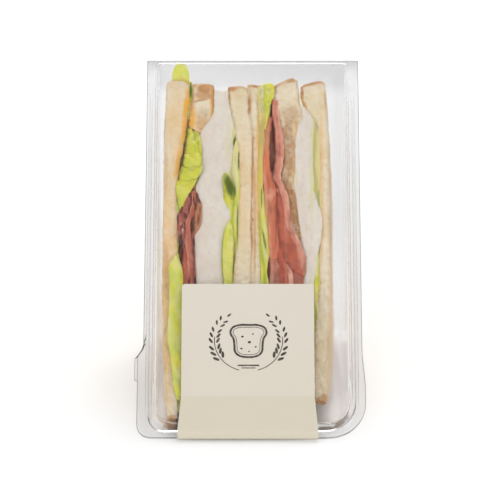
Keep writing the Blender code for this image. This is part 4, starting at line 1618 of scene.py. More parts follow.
LAYERS = (
    Layer(
        "bread_a1", Food.BREAD, 9.6, Outline(0, 0, 16, 9, 5),
        ((178, -28), (168, -27.6), (161, -28.4), (153, -29.2), (147, -29.8), (140, -31), (130, -32.5),
         (116, -33.5), (106, -32.5), (91, -33), (76, -33.5), (49, -33), (12, -32)),
        outer_left=True, slant=-0.3, toast=0.2,
        patches=(
            Patch("butter", -28.9, 158, 2.1, 17, 1, -3, 6), Patch("butter", -31.2, 140, 2, 16, 0.85, -9),
            Patch("crust", -28.6, 154, 0.6, 6, 0.7, -5), Patch("butter", -33, 152, 4.5, 24, 0.25),
            Patch("crust", -33, 175.6, 6.5, 2.2, -0.6), Patch("crust", -37.8, 84, 1.4, 12, 0.4),
            Patch("crust", -38, 130, 0.9, 14, 0.3), Patch("butter", -36.5, 70, 3.4, 56, 0.4),
            Patch("butter", -33.6, 98, 0.9, 26, 0.4))),
    Layer(
        "lettuce_a1", Food.LETTUCE, 1.8, Outline(2.5, 1, 16, 12, 4),
        ((178, -27.2), (168, -26.8), (161, -28), (153, -28.2), (147, -22.5), (140, -20), (130, -20),
         (126, -22.5), (121, -27), (116, -31), (110, -32), (91, -32.3), (76, -31), (12, -30)),
        proud=-1.6, wave=0.05,
        patches=(
            # Painted shade: the golden and deep patches with the dent by bread_a1 darken the gap beside it,
            # and the other deep patches darken a slit near the top and the line under a fold.
            Patch("golden", -30, 142, 1.6, 15, 1, -8, 6), Patch("deep", -30.5, 140, 1.3, 14, 0.95, -8, 6),
            Patch("dent", -30.4, 140, 1.4, 14, 1.4, -8), Patch("deep", -32.6, 127.5, 0.9, 2.6, 0.9),
            Patch("golden", -32, 175, 3.5, 1.6, 0.5), Patch("green", -33, 40, 4, 26, -0.2),
            Patch("deep", -27.3, 170, 0.7, 5, 1)),
        folds=LEAF_A1),
    Layer(
        "bacon_a", Food.BACON, 3.2, Outline(9, 12, 12, 12, 12),
        ((178, -26.8), (168, -26.5), (161, -27.7), (153, -27.8), (148, -22.2), (140, -20), (12, -20)),
        proud=-1.1, wave=0.07,
        patches=(
            # The dark patches paint shade into hollows and gaps between the rashers, over dents; the small
            # fat patches are painted highlights.
            Patch("dark", -31.3, 91, 1.7, 7, 0.95), Patch("dent", -31.3, 91, 1.5, 7, 1.2),
            Patch("dark", -29.1, 107.5, 0.8, 1.7, 0.95), Patch("dark", -31.8, 110, 0.8, 2, 0.6),
            Patch("dark", -28.2, 114, 0.6, 2, 0.5), Patch("fat", -30.4, 100, 0.8, 0.9, 1),
            Patch("fat", -28.9, 97, 0.5, 0.6, 0.9), Patch("fat", -31.2, 103.5, 0.5, 0.7, 0.8),
            Patch("dark", -25.2, 84, 0.5, 12, 0.6)),
        folds=RASHERS_A),
    Layer(
        "bread_a2", Food.BREAD, 9.3, Outline(0.8, 0.9, 16, 9, 6),
        ((178, -20), (174, -17.5), (170, -16.5), (162, -16.5), (157, -17.5), (153, -20), (150, -22),
         (146, -22.8), (135, -22.5), (130, -22.2), (127, -23), (122, -24.5), (117, -23.3), (113, -22),
         (106, -22), (103, -23), (100, -25), (96, -25.5), (87, -25), (76, -24), (49, -22), (12, -20)),
        proud=-0.4,
        patches=(
            Patch("crust", -21.2, 171.4, 3.6, 2.3, 1), Patch("butter", -21, 170.6, 2.6, 1.6, 0.45),
            Patch("dent", -21, 171.2, 2.4, 1.6, 0.9), Patch("crust", -21.8, 168.2, 4.2, 3, 0.8),
            Patch("butter", -17.4, 164, 1.4, 9, 0.85), Patch("crust", -17.2, 166, 0.9, 8, 0.8),
            Patch("crust", -26.5, 167, 1, 7, 0.75), Patch("butter", -27.2, 157, 2.4, 6, 1),
            Patch("soak", -23, 165.4, 0.6, 3.4, 0.8, -78), Patch("soak", -22, 156, 3, 6, 0.4),
            Patch("butter", -22, 152, 3.5, 6, 0.4))),
    Layer(
        "chicken_mayo_a", Food.CHICKEN_MAYO, 3.9, Outline(5, 3.2, 12, 12, 6),
        ((176, -12.5), (171, -11), (160, -10), (152, -8.5), (145, -8.5), (136, -9), (130, -10),
         (127, -12.5), (118, -13), (114, -11.5), (110, -9.5), (107, -9.5), (103, -11.5), (98, -13),
         (87, -13.5), (76, -12.5), (12, -12)),
        proud=0.6, wave=0.04,
        patches=(Patch("tint", -13, 90, 1.2, 16, 0.3), Patch("tint", -10.4, 145, 1.4, 12, 0.35))),
    Layer(
        "lettuce_a2", Food.LETTUCE, 1.9, Outline(4, 6, 14, 12, 8),
        ((178, -10.5), (165, -10.3), (160, -9.5), (155, -8.5), (150, -7.5), (143, -6.2), (130, -5.5),
         (112, -6), (96, -6.2), (87, -7), (76, -8), (49, -7.5), (12, -7)),
        proud=0.6, wave=0.05,
        patches=(
            # The large deep patch is partly the dark leaf's own colour and partly painted shade of its
            # pocket; the other deep patches, with their dents, paint shade along the edge by bread_a3.
            Patch("green", -9, 142, 4, 24, -0.75), Patch("golden", -9, 146, 2.5, 16, 0.3),
            Patch("deep", -9.9, 122, 2.1, 5.8, 1, 17, 9), Patch("green", -11.5, 117, 1.4, 5, 1, 30),
            Patch("deep", -7.2, 146.5, 0.6, 7, 1, -16), Patch("dent", -7.3, 146.5, 0.6, 5, 0.8, -16),
            Patch("deep", -5.8, 135, 0.5, 4.5, 0.9), Patch("dent", -6.6, 135, 0.8, 3, 1),
            Patch("deep", -6.4, 104, 0.4, 12, 0.8), Patch("deep", -7.6, 82, 0.8, 12, 0.75),
            Patch("dent", -7.4, 84, 0.8, 16, 1)),
        folds=DARK_LEAF),
    Layer(
        "bread_a3", Food.BREAD, 9, Outline(0.8, 1.7, 16, 10, 6),
        ((178, -2), (163, -1.5), (155, -0.5), (146, 1), (130, 0.8), (111, 0.3), (96, 0.5), (76, -0.5),
         (49, -1), (12, 0)),
        proud=-0.2, slant=-0.4,
        patches=(
            Patch("crust", -9, 171.6, 2.4, 1.6, 0.9), Patch("crust", -5.5, 172.6, 4.5, 1.4, 0.5),
            Patch("soak", -10.2, 164.5, 0.6, 5, 0.9), Patch("crust", 0.5, 112, 1, 40, 1),
            Patch("soak", 0.2, 104, 0.9, 12, 0.9), Patch("soak", 0.2, 86, 0.7, 8, 0.8),
            Patch("butter", -4, 120, 2, 30, 0.2))),
    Layer(
        "bread_b1", Food.BREAD, 9, Outline(1.6, 1.4, 16, 14, 6),
        ((178, 4), (170, 3.5), (160, 3), (130, 3), (101, 3), (88, 3.5), (49, 4), (12, 5)), proud=0.1,
        patches=(
            Patch("soak", -1.2, 162.5, 0.7, 4.6, 1), Patch("crust", -0.8, 164, 0.9, 8, 0.5),
            Patch("butter", 2.6, 132, 0.9, 34, 0.5), Patch("crust", 1.2, 106, 0.7, 32, 0.6),
            Patch("crust", 1.5, 173, 3, 1.2, 0.35))),
    Layer(
        "lettuce_b1", Food.LETTUCE, 1.5, Outline(4, 2.2, 14, 14, 6),
        ((178, 9.5), (171, 10), (167, 9.5), (163, 8), (157, 7.5), (150, 5.5), (135, 5), (121, 5.2),
         (106, 6.5), (91, 8), (87, 7), (82, 6), (76, 7), (12, 7.5)),
        proud=0.7, wave=0.05,
        patches=(
            Patch("green", 4.4, 166, 1.8, 8, -0.6), Patch("golden", 4.6, 140, 2.2, 20, 0.8),
            Patch("golden", 3.6, 112, 0.7, 18, 0.6), Patch("deep", 4.3, 117, 0.35, 5, 0.8),
            Patch("deep", 5.4, 96, 0.45, 6, 0.9, 10), Patch("golden", 7.2, 96, 0.7, 8, 0.6),
            Patch("deep", 3.6, 84, 0.4, 8, 0.4)),
        folds=TOP_LEAF_B),
    Layer(
        "bacon_b", Food.BACON, 3.4, Outline(8, 7, 12, 14, 10),
        ((180, 10), (168, 10), (160, 11.5), (150, 13.7), (140, 14.3), (130, 13.8), (127, 13.3), (121, 15.3),
         (111, 16.3), (103, 17.3), (96, 19.8), (91, 22.2), (87, 23), (82, 22.8), (76, 21.5), (49, 18),
         (12, 15)),
        proud=-1.1, wave=0.07,
        patches=(
            # The dark patches paint shade into the gap and creases between the rashers; the two fat patches
            # are painted highlights.
            Patch("dark", 9.1, 140, 1.5, 14, 0.9), Patch("dent", 9.1, 140, 1.4, 14, 1.6),
            Patch("dark", 8.3, 162, 0.8, 7, 0.9), Patch("dark", 6.8, 81, 1.4, 7, 0.9),
            Patch("dark", 10.7, 108, 0.45, 11, 0.6), Patch("dark", 13.8, 91, 0.5, 5, 0.5, 14),
            Patch("seared", 6, 148, 2, 9, 0.95), Patch("glow", 6.6, 130, 2.4, 14, 0.95),
            Patch("seared", 6.6, 107, 1.6, 14, 0.8), Patch("fat", 8, 118, 2.2, 3, 0.6),
            Patch("fat", 11, 120.5, 0.6, 0.9, 1)),
        folds=RASHERS_B),
    Layer(
        "bread_b2", Food.BREAD, 9.1, Outline(2.4, 0, 16, 14, 5),
        ((180, 19.8), (170, 20.5), (165, 21), (160, 22.7), (157, 22.5), (153, 21), (149, 20.2), (145, 19.6),
         (130, 19.2), (125, 18.8), (118, 19.7), (111, 20.3), (103, 21.2), (96, 22), (89, 23.3), (83, 23.6),
         (76, 23), (49, 21.5), (12, 21)),
        proud=-0.3, slant=1.7,
        patches=(
            Patch("crust", 15, 176.4, 6, 1.5, 0.85, 0), Patch("crust", 10.4, 172, 0.9, 4, 0.6),
            Patch("soak", 16.2, 142, 2.8, 17, 0.82), Patch("soak", 17, 157, 4.4, 6, 0.4),
            Patch("soak", 18.2, 112, 2.4, 20, 1, 12), Patch("butter", 19.8, 151, 1.2, 5, 0.45),
            Patch("butter", 18.8, 134, 1.2, 12, 0.35), Patch("crust", 18.5, 160, 2, 3, 0.3))),
    Layer(
        "chicken_mayo_b", Food.CHICKEN_MAYO, 3.2, Outline(6, 8, 12, 14, 10),
        ((168, 23), (161, 25), (156, 26.2), (150, 26.7), (123, 26.7), (116, 28), (110, 30), (104, 30.6),
         (96, 29.7), (89, 28.2), (82, 27.8), (76, 26.7), (49, 26), (12, 25)),
        proud=0.55, wave=0.04,
        patches=(Patch("tint", 26.3, 128, 0.9, 24, 0.6), Patch("tint", 19.6, 127, 1.2, 4, 0.4))),
    Layer(
        "lettuce_b2", Food.LETTUCE, 1.3, Outline(5, 6, 14, 14, 8),
        ((178, 22), (168, 22), (162, 23.7), (159, 25.5), (155, 28.5), (150, 29.7), (140, 30), (120, 30),
         (110, 30.8), (104, 31.2), (96, 30.5), (88, 29.7), (76, 29.5), (49, 27.5), (12, 26.5)),
        proud=-0.2, wave=0.05,
        patches=(
            Patch("green", 28, 130, 3.4, 48, -0.85), Patch("golden", 29.2, 130, 1.4, 30, 0.3),
            Patch("green", 27.2, 122, 0.6, 8, 0.8), Patch("deep", 29.3, 116, 0.7, 6, 0.4),
            Patch("deep", 30.6, 109, 0.4, 4, 0.5), Patch("green", 28, 76.5, 2, 3, 1))),
    Layer(
        "bread_b3", Food.BREAD, 9.4, Outline(5, 0.5, 18, 14, 5),
        ((178, 32.3), (170, 33), (160, 33.5), (146, 34), (76, 34), (49, 33), (12, 31.5)), outer_right=True,
        slant=0.8,
        patches=(
            Patch("crust", 22.3, 168, 0.8, 6, 0.95), Patch("crust", 23.4, 162.5, 0.9, 3.6, 0.95, 20),
            Patch("crust", 27.5, 174.4, 5.5, 1.5, 0.8), Patch("crust", 33.4, 165, 1.2, 9, 0.4),
            Patch("crust", 31.4, 21.5, 2.2, 2.4, 0.85), Patch("butter", 30.8, 125, 1, 40, 0.4))))


@dataclass(frozen=True)
class Sandwich:
    """The two club wedges, standing side by side in the pack with their cut sides to the face."""

    face: Face
    effects: Effects

    def finishes(self) -> dict[Food, Material]:
        """Return the finish of each food.

        Returns:
            Materials by food.
        """
        return {
            Food.BREAD: BreadFinish().material(self.effects),
            Food.LETTUCE: LeafFinish().material(self.effects),
            Food.BACON: MeatFinish().material(self.effects),
            Food.CHICKEN_MAYO: MayoFinish().material(self.effects),
        }

    @staticmethod
    def seams() -> list[Seam]:
        """Return the seams from the stack's left side to its right side, none of them crossing.

        Returns:
            One seam more than there are layers.
        """
        seams = [Seam.through(LAYERS[-1].seam, 0.25, 1.0)]
        for index, layer in reversed(list(enumerate(LAYERS[:-1]))):
            seams.insert(0, Seam.through(layer.seam, 0.4, 4.0 + 5.3 * index).left_of(seams[0]))
        return [Seam.through(STACK_LEFT_SEAM, 0.25, 2.0)] + seams

    def build(self) -> None:
        """Build every layer from left to right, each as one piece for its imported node."""
        finishes = self.finishes()
        seams = self.seams()
        deep_left = STACK_LEFT
        for index, layer in enumerate(LAYERS):
            skin = Skin(MASKS[layer.food])
            Slab(layer, seams[index], seams[index + 1], deep_left, 3.0 + 7.3 * index).add_to(skin)
            for fold in layer.folds:
                fold.add_to(skin, [patch for patch in layer.patches if patch.strength > 0.0])
            piece = skin.piece(layer.name + "_visual", self.face, finishes[layer.food])
            hand_over(piece, layer.food.value, layer.name)
            deep_left += layer.deep


# ---------------------------------------------------------------- the pack


FLANGE_LOW = 2.0
SIDE_START = 7.5
SIDE_RUN = 174.5
SIDE_HEIGHTS = np.concatenate((
    np.linspace(10.0, 25.0, 5), np.linspace(26.6, 28.8, 8), np.linspace(30.5, 36.0, 5),
    np.linspace(37.2, 39.6, 8), np.linspace(40.6, 46.0, 6), np.linspace(52.0, 178.0, 24)))


@dataclass(frozen=True)
class Flange:
    """The flat rim where tray and lid meet, with the wider skirt and opening tab near its low edge."""

    low: float = 1.5
    high: float = 182.4
    left: float = 46.6
    right: float = 47.3
    skirt_left: float = 49.1
    skirt_right: float = 48.6
    skirt_full: float = 21.5
    tab_low: float = 27.5
    tab_high: float = 38.5
    skirt_end: float = 43.5
    tab_reach: float = 50.3
    corners: Triple = (6.0, 16.0, 0.4)
    step: float = 0.3
    step_corners: Triple = (5.7, 15.7, 0.3)

    def reach_left(self, v: Array) -> Array:
        """Return how far the left edge stands out at these heights."""
        skirt = smooth((self.skirt_end - v) / (self.skirt_end - self.tab_high))
        return self.left + (self.skirt_left - self.left) * skirt

    def reach_right(self, v: Array) -> Array:
        """Return how far the right edge stands out at these heights."""
        skirt = smooth((self.skirt_end - v) / (self.skirt_end - self.skirt_full))
        return self.right + (self.skirt_right - self.right) * skirt

    def reach_tab(self, v: Array) -> Array:
        """Return how far the lid's left edge stands out, opening tab included.

        Args:
            v: The heights.

        Returns:
            One reach for each height.
        """
        tab = smooth((v - self.tab_low + 0.4) / 1.1) * smooth((self.tab_high + 0.4 - v) / 1.1)
        reach = self.reach_left(v)
        return reach + (self.tab_reach - reach) * tab

    def rings(self, left: Reach, level: float, high_step: float) -> list[Array]:
        """Return the outermost ring of the rim and the one a small step inside it.

        Args:
            left: Gives the reach of the left edge at a height.
            level: How far out the rim lies.
            high_step: The step at the high edge.

        Returns:
            The two rings.
        """
        inner = moulded_ring(
            lambda v: left(v) - self.step, lambda v: self.reach_right(v) - self.step, self.low + self.step,
            self.high - high_step, self.step_corners, level)
        return [moulded_ring(left, self.reach_right, self.low, self.high, self.corners, level), inner]


def arc(x: float, v: float, radius: float, start: float, steps: int) -> Array:
    """Return a quarter turn round a corner.

    Args:
        x: Where its centre stands across the pack.
        v: How high its centre stands up the slope.
        radius: Its radius.
        start: Where it starts, in degrees.
        steps: How many points it has.

    Returns:
        Array of points by two coordinates.
    """
    turn = np.radians(np.linspace(start, start + 90.0, steps))
    return np.stack((x + radius * np.cos(turn), v + radius * np.sin(turn)), -1)


def moulded_ring(
        left: Reach, right: Reach, low: float, high: float, corners: Sequence[float], level: float,
) -> Array:
    """Return one closed ring of a moulded sheet.

    Args:
        left: Gives the reach of the left edge at a height.
        right: Gives the reach of the right edge at a height.
        low: Height of the ring's low edge.
        high: Height of the ring's high edge.
        corners: Radii of the low left, the low right and the two high corners.
        level: How far out the ring lies.

    Returns:
        Array of points by three coordinates.
    """
    low_left, low_right, top = corners
    base = low + max(low_left, low_right)
    shares = (SIDE_HEIGHTS - SIDE_START) / SIDE_RUN
    # The flange's own rings keep the heights themselves, which lie closer where skirt and tab begin.
    if low < FLANGE_LOW:
        sides = SIDE_HEIGHTS[SIDE_HEIGHTS > base]
        sides = np.concatenate((np.linspace(base, sides[0], len(SIDE_HEIGHTS) - len(sides) + 1)[:-1], sides))
    else:
        sides = base + (high - top - base) * shares
    parts = [
        arc(low_left - float(left(low)), low + low_left, low_left, 180.0, 9),
        arc(float(right(low)) - low_right, low + low_right, low_right, 270.0, 9),
        np.stack((right(sides) * np.ones_like(sides), sides), -1),
        arc(float(right(high)) - top, high - top, top, 0.0, 5),
        arc(top - float(left(high)), high - top, top, 90.0, 5),
        np.stack((-left(sides) * np.ones_like(sides), sides), -1)[::-1],
    ]
    outline = np.concatenate(parts)
    return np.column_stack((outline, np.full(len(outline), level)))


def even_ring(half: float, low: float, high: float, corners: Sequence[float], level: float) -> Array:
    """Return a ring whose two long edges are straight and lie the same way out."""
    return moulded_ring(lambda v: half, lambda v: half, low, high, corners, level)


@dataclass(frozen=True)
class MouldedSheet:
    """A thermoformed sheet, given by the rings of its inner surface."""

    name: str
    rings: Array
    outward: float
    # The next three fields give how strongly painted shade greys the sheet: at its back, beside the food and
    # on its rim.
    tint: float = 0.0
    side_painted_shade: float = 0.0
    rim_painted_shade: float = 0.0
    back_seen_from: float = 112.0
    food_left: float = 39.2
    food_right: float = 34.5
    rim_half: float = 41.4
    rim_low: float = 8.5

    def painted_sheet_shade(self, points: Array) -> Array:
        """Return how much painted shade greys the sheet: more up the slope, at its back, beside the sandwich
        and on its rim.

        Args:
            points: Its points.

        Returns:
            One value for each point, from 0 to 1.
        """
        x, v, n = points.T
        height, from_back = (v + n) / ROOT2, (SLOPE_LENGTH - v + n) / ROOT2
        open_back = 0.42 + 0.58 * smooth((height - self.back_seen_from) / 8.0)
        at_back = self.tint * smooth((5.0 - from_back) / 3.0) * open_back
        tint = np.maximum(0.14 * smooth((v - 15.0) / 60.0), at_back)
        beside = smooth((x - self.food_right) / 1.5) + smooth((-self.food_left - x) / 1.5)
        tint = np.maximum(tint, self.side_painted_shade * beside * smooth((v - 55.0) / 55.0))
        rim = np.maximum(smooth((np.abs(x) - self.rim_half) / 1.2), smooth((self.rim_low - v) / 2.0))
        return np.maximum(tint, self.rim_painted_shade * rim)

    def piece(self, face: Face, plastic: Material) -> bpy.types.Object:
        """Make the sheet's object, thickened on the side away from the food.

        Args:
            face: Frame that the rings are in.
            plastic: The clear finish.

        Returns:
            The finished object.
        """
        rows, count = self.rings.shape[:2]
        index = np.arange(rows - 1)[:, None] * count + np.arange(count)[None, :]
        following = np.arange(rows - 1)[:, None] * count + (np.arange(count)[None, :] + 1) % count
        quads = np.stack((index, following, following + count, index + count), -1).reshape(-1, 4)
        inner = self.rings.reshape(-1, 3)
        turned = np.cross(inner[quads[:, 2]] - inner[quads[:, 0]], inner[quads[:, 3]] - inner[quads[:, 1]])
        normals = np.zeros_like(inner)
        for corner in range(4):
            np.add.at(normals, quads[:, corner], turned)
        normals[-count:] = (0.0, 0.0, 1.0)
        normals /= np.linalg.norm(normals, axis=1)[:, None] + 1e-12
        outer = inner + normals * WALL * self.outward
        total = len(inner)
        faces = quads.tolist() + (quads[:, ::-1] + total).tolist()
        cap = list(range(total - count, total))
        faces += [cap, [place + total for place in cap[::-1]]]
        for place in range(count):
            ahead = (place + 1) % count
            faces.append((place, ahead, ahead + total, place + total))
        # Painted shade: the sheet's cut edge, its outermost ring, is painted dark grey.
        edge = np.zeros(2 * total)
        edge[:count] = edge[total:total + count] = 1.0
        points = np.concatenate((inner, outer))
        sheet = Skin(("edge", "tint"))
        sheet.add(points, faces, {"edge": edge, "tint": self.painted_sheet_shade(points)})
        return sheet.piece(self.name, face, plastic, 50.0)


@dataclass(frozen=True)
class Tray:
    """The clear wedge tray: flange, rounded mouth and walls that run down to a rounded heel."""

    flange: Flange = Flange()
    opening_half: float = 41.2
    opening_low: float = 9.0
    opening_high: float = 181.0
    opening_corners: Triple = (9.0, 9.0, 2.0)
    edge_radius: float = 4.0
    mouth_radius: float = 1.1
    draft: float = 0.014
    heel_radius: float = 7.5
    low_blend: float = 1.6
    high_blend: float = 0.8

    def section(self, level: float, spread: float = 0.0) -> Array:
        """Return the ring of the inner surface at a level below the flange.

        Args:
            level: How far out the ring lies, 0 at the flange.
            spread: How much wider it is than the plain wall.

        Returns:
            The ring's points.
        """
        wall = WALL * ROOT2
        plain, sloped = self.opening_low, wall - level
        low = (plain + sloped + math.hypot(plain - sloped, self.low_blend)) / 2.0
        plain, sloped = self.opening_high, SLOPE_LENGTH - wall + level
        high = (plain + sloped - math.hypot(plain - sloped, self.high_blend)) / 2.0
        deep = float(smooth((-level - 6.0) / 12.0))
        corners = [radius + (self.edge_radius - radius) * deep - spread for radius in self.opening_corners]
        corners[2] = max(corners[2], 0.6)
        half = self.opening_half + self.draft * level + spread
        return even_ring(half, low - spread, high + min(spread, 0.5), corners, level)

    def sheet(self) -> MouldedSheet:
        """Return the tray's sheet.

        Returns:
            The sheet, not thickened yet.
        """
        flange, radius = self.flange, self.mouth_radius
        rings = flange.rings(flange.reach_left, 0.0, 0.2)
        rings.append(self.section(0.0, radius + 0.2))
        for turn in np.radians((0.0, 22.5, 45.0, 67.5, 90.0)):
            rings.append(self.section(radius * (math.cos(turn) - 1.0), radius * (1.0 - math.sin(turn))))
        for level in (-2.0, -3.2, -4.6, -6.0, -7.2, -8.2, -9.2, -10.6, -12.5, -15.0, -18.0, -24.0, -32.0,
                      -42.0, -54.0, -66.0, -76.0, -82.0):
            rings.append(self.section(level))
        middle = SLOPE_LENGTH / 2.0
        centre = WALL * ROOT2 - middle + self.heel_radius * ROOT2
        for angle in np.radians((225.0, 232.0, 239.0, 246.0, 253.0, 260.0, 266.0)):
            reach = -self.heel_radius * math.cos(angle)
            level = centre + self.heel_radius * math.sin(angle)
            round_off = min(self.edge_radius, reach * 0.6)
            half = self.opening_half + self.draft * level
            rings.append(even_ring(half, middle - reach, middle + reach, (round_off,) * 3, level))
        return MouldedSheet("tray_visual", np.array(rings), -1.0, 1.0)


@dataclass(frozen=True)
class Lid:
    """The clear lid: opening tab, round snap bead and a panel raised off the sandwich."""

    flange: Flange = Flange()
    gap: float = 0.35
    bead_half: float = 45.4
    bead_low: float = 2.9
    bead_high: float = 182.0
    bead_width: float = 1.6
    bead_rise: float = 0.9
    bead_end: float = 175.0
    bead_run_out: float = 12.0
    foot: Triple = (42.8, 7.5, 180.8)
    foot_corners: Triple = (8.0, 11.0, 1.0)
    panel: Triple = (41.2, 19.4, 179.3)
    panel_corners: Triple = (8.0, 10.0, 1.5)
    panel_rise: float = 3.0

    def bead(self) -> list[Array]:
        """Return the rings that run over the snap bead, which fades out towards the hinge.

        Returns:
            The rings, the outermost first.
        """
        rings = []
        for share in np.linspace(0.0, 1.0, 9):
            corners = (5.0 + 9.0 * share * (1.0 - share), 14.0 - 2.0 * abs(share - 0.5), 0.4)
            ring = even_ring(
                self.bead_half - self.bead_width * share, self.bead_low + 1.8 * share,
                self.bead_high - 0.8 * share, corners, self.gap)
            rise = self.bead_rise * math.sin(math.pi * share) ** 2
            ring[:, 2] += rise * smooth((self.bead_end - ring[:, 1]) / self.bead_run_out)
            rings.append(ring)
        return rings

    def sheet(self) -> MouldedSheet:
        """Return the lid's sheet.

        Returns:
            The sheet, not thickened yet.
        """
        rings = self.flange.rings(self.flange.reach_tab, self.gap, 0.15) + self.bead()
        foot, panel = np.array(self.foot), np.array(self.panel)
        foot_corners, panel_corners = np.array(self.foot_corners), np.array(self.panel_corners)
        for share in np.linspace(0.0, 1.0, 9):
            half, low, high = foot + (panel - foot) * share
            rise = self.panel_rise * float(smooth(share))
            corners = foot_corners + (panel_corners - foot_corners) * share
            rings.append(even_ring(half, low, high, corners, self.gap + rise))
        half, low, high = self.panel
        middle = (low + high) / 2.0
        outer = rings[-1]
        for share in (0.97, 0.9, 0.75, 0.55, 0.32, 0.12):
            ring = outer.copy()
            ring[:, 0] = outer[:, 0] * share
            ring[:, 1] = middle + (outer[:, 1] - middle) * (1.0 - (1.0 - share) * half / (high - low) * 2.0)
            ring[:, 2] += 0.12 * (1.0 - share) * lumps(ring, 34.0, 2, 2.0)
            rings.append(ring)
        return MouldedSheet("lid_visual", np.array(rings), 1.0, side_painted_shade=0.55, rim_painted_shade=0.5)


def rounded_path(points: Sequence[Point], radius: float, steps: int = 5) -> Array:
    """Return a line through these points with its corners rounded.

    Args:
        points: Corners of the line.
        radius: How far before and after a corner the rounding starts, at most.
        steps: Points in each rounding.

    Returns:
        Array of points by two coordinates.
    """
    corners = np.array(points)
    line = [corners[0]]
    for before, corner, after in zip(corners, corners[1:], corners[2:]):
        back, ahead = before - corner, after - corner
        reach = min(radius, np.linalg.norm(back) * 0.45, np.linalg.norm(ahead) * 0.45)
        start = corner + back / np.linalg.norm(back) * reach
        end = corner + ahead / np.linalg.norm(ahead) * reach
        for share in np.linspace(0.0, 1.0, steps):
            line.append((1 - share) ** 2 * start + 2 * share * (1 - share) * corner + share ** 2 * end)
    line.append(corners[-1])
    return np.array(line)


@dataclass(frozen=True)
class Label:
    """The paper seal that lies over the lid and folds down over the low edge of the flange."""

    left: float = 30.2
    right: float = 26.7
    flare: float = 1.5
    top: float = 71.5
    corner: float = 1.4
    thickness: float = 0.2
    panel_level: float = 3.97
    bend: float = 19.2
    lip: tuple[Point, ...] = ((3.8, 2.17), (2.6, 1.27), (1.38, 0.97), (1.38, -0.5))
    lip_radius: float = 1.2
    columns: int = 15

    def path(self) -> Array:
        """Return the label's side line as heights and levels, from its top to its folded lip.

        Returns:
            Array of points by two coordinates.
        """
        level = self.panel_level
        down = rounded_path(((self.top - self.corner, level), (self.bend, level)) + self.lip, self.lip_radius)
        near_top = self.top - self.corner * (1.0 - np.cos(np.linspace(0.0, math.pi / 2.0, 8)[:-1]))
        body = np.linspace(self.top - self.corner, down[1, 0], 30)
        heights = np.concatenate((near_top, body))
        straight = np.column_stack((heights, np.full(len(heights), level)))
        return np.concatenate((straight[:-1], down[1:]))

    def piece(self, face: Face, paper: Material) -> bpy.types.Object:
        """Make the label's object.

        Args:
            face: Frame of the pack's face.
            paper: The paper finish.

        Returns:
            The finished object.
        """
        path = self.path()
        v, n = path[:, 0], path[:, 1]
        step = np.gradient(path, axis=0)
        away = np.stack((step[:, 1], -step[:, 0]), -1) / np.linalg.norm(step, axis=1)[:, None]
        past = np.clip(self.top - v, 0.0, self.corner)
        inset = self.corner - np.sqrt(self.corner ** 2 - (self.corner - past) ** 2)
        flare = self.flare * smooth((self.bend - v) / 17.0)
        left, right = inset - flare - self.left, self.right + flare - inset
        share = np.linspace(0.0, 1.0, self.columns)
        x = left[:, None] + (right - left)[:, None] * share
        inner = spread(x, v[:, None], n[:, None])
        inner[..., 2] += 0.05 * np.clip(lumps(inner, (16.0, 16.0, 60.0), 2, 4.0), 0.0, None)
        outer = inner.copy()
        outer[..., 1] += away[:, None, 0] * self.thickness
        outer[..., 2] += away[:, None, 1] * self.thickness
        rings = np.concatenate((inner, outer[:, ::-1]), axis=1)
        skin = Skin(("painted_fold_shade",))
        # The mask paints shade on the paper: a little towards the low edge, and fully below the fold.
        skin.add_loft(rings, {"painted_fold_shade": 0.25 * smooth((60.0 - rings[..., 1]) / 40.0)
                              + 0.75 * smooth((self.bend + 0.6 - rings[..., 1]) / 1.2)})
        return skin.piece("label_visual", face, paper, 40.0)


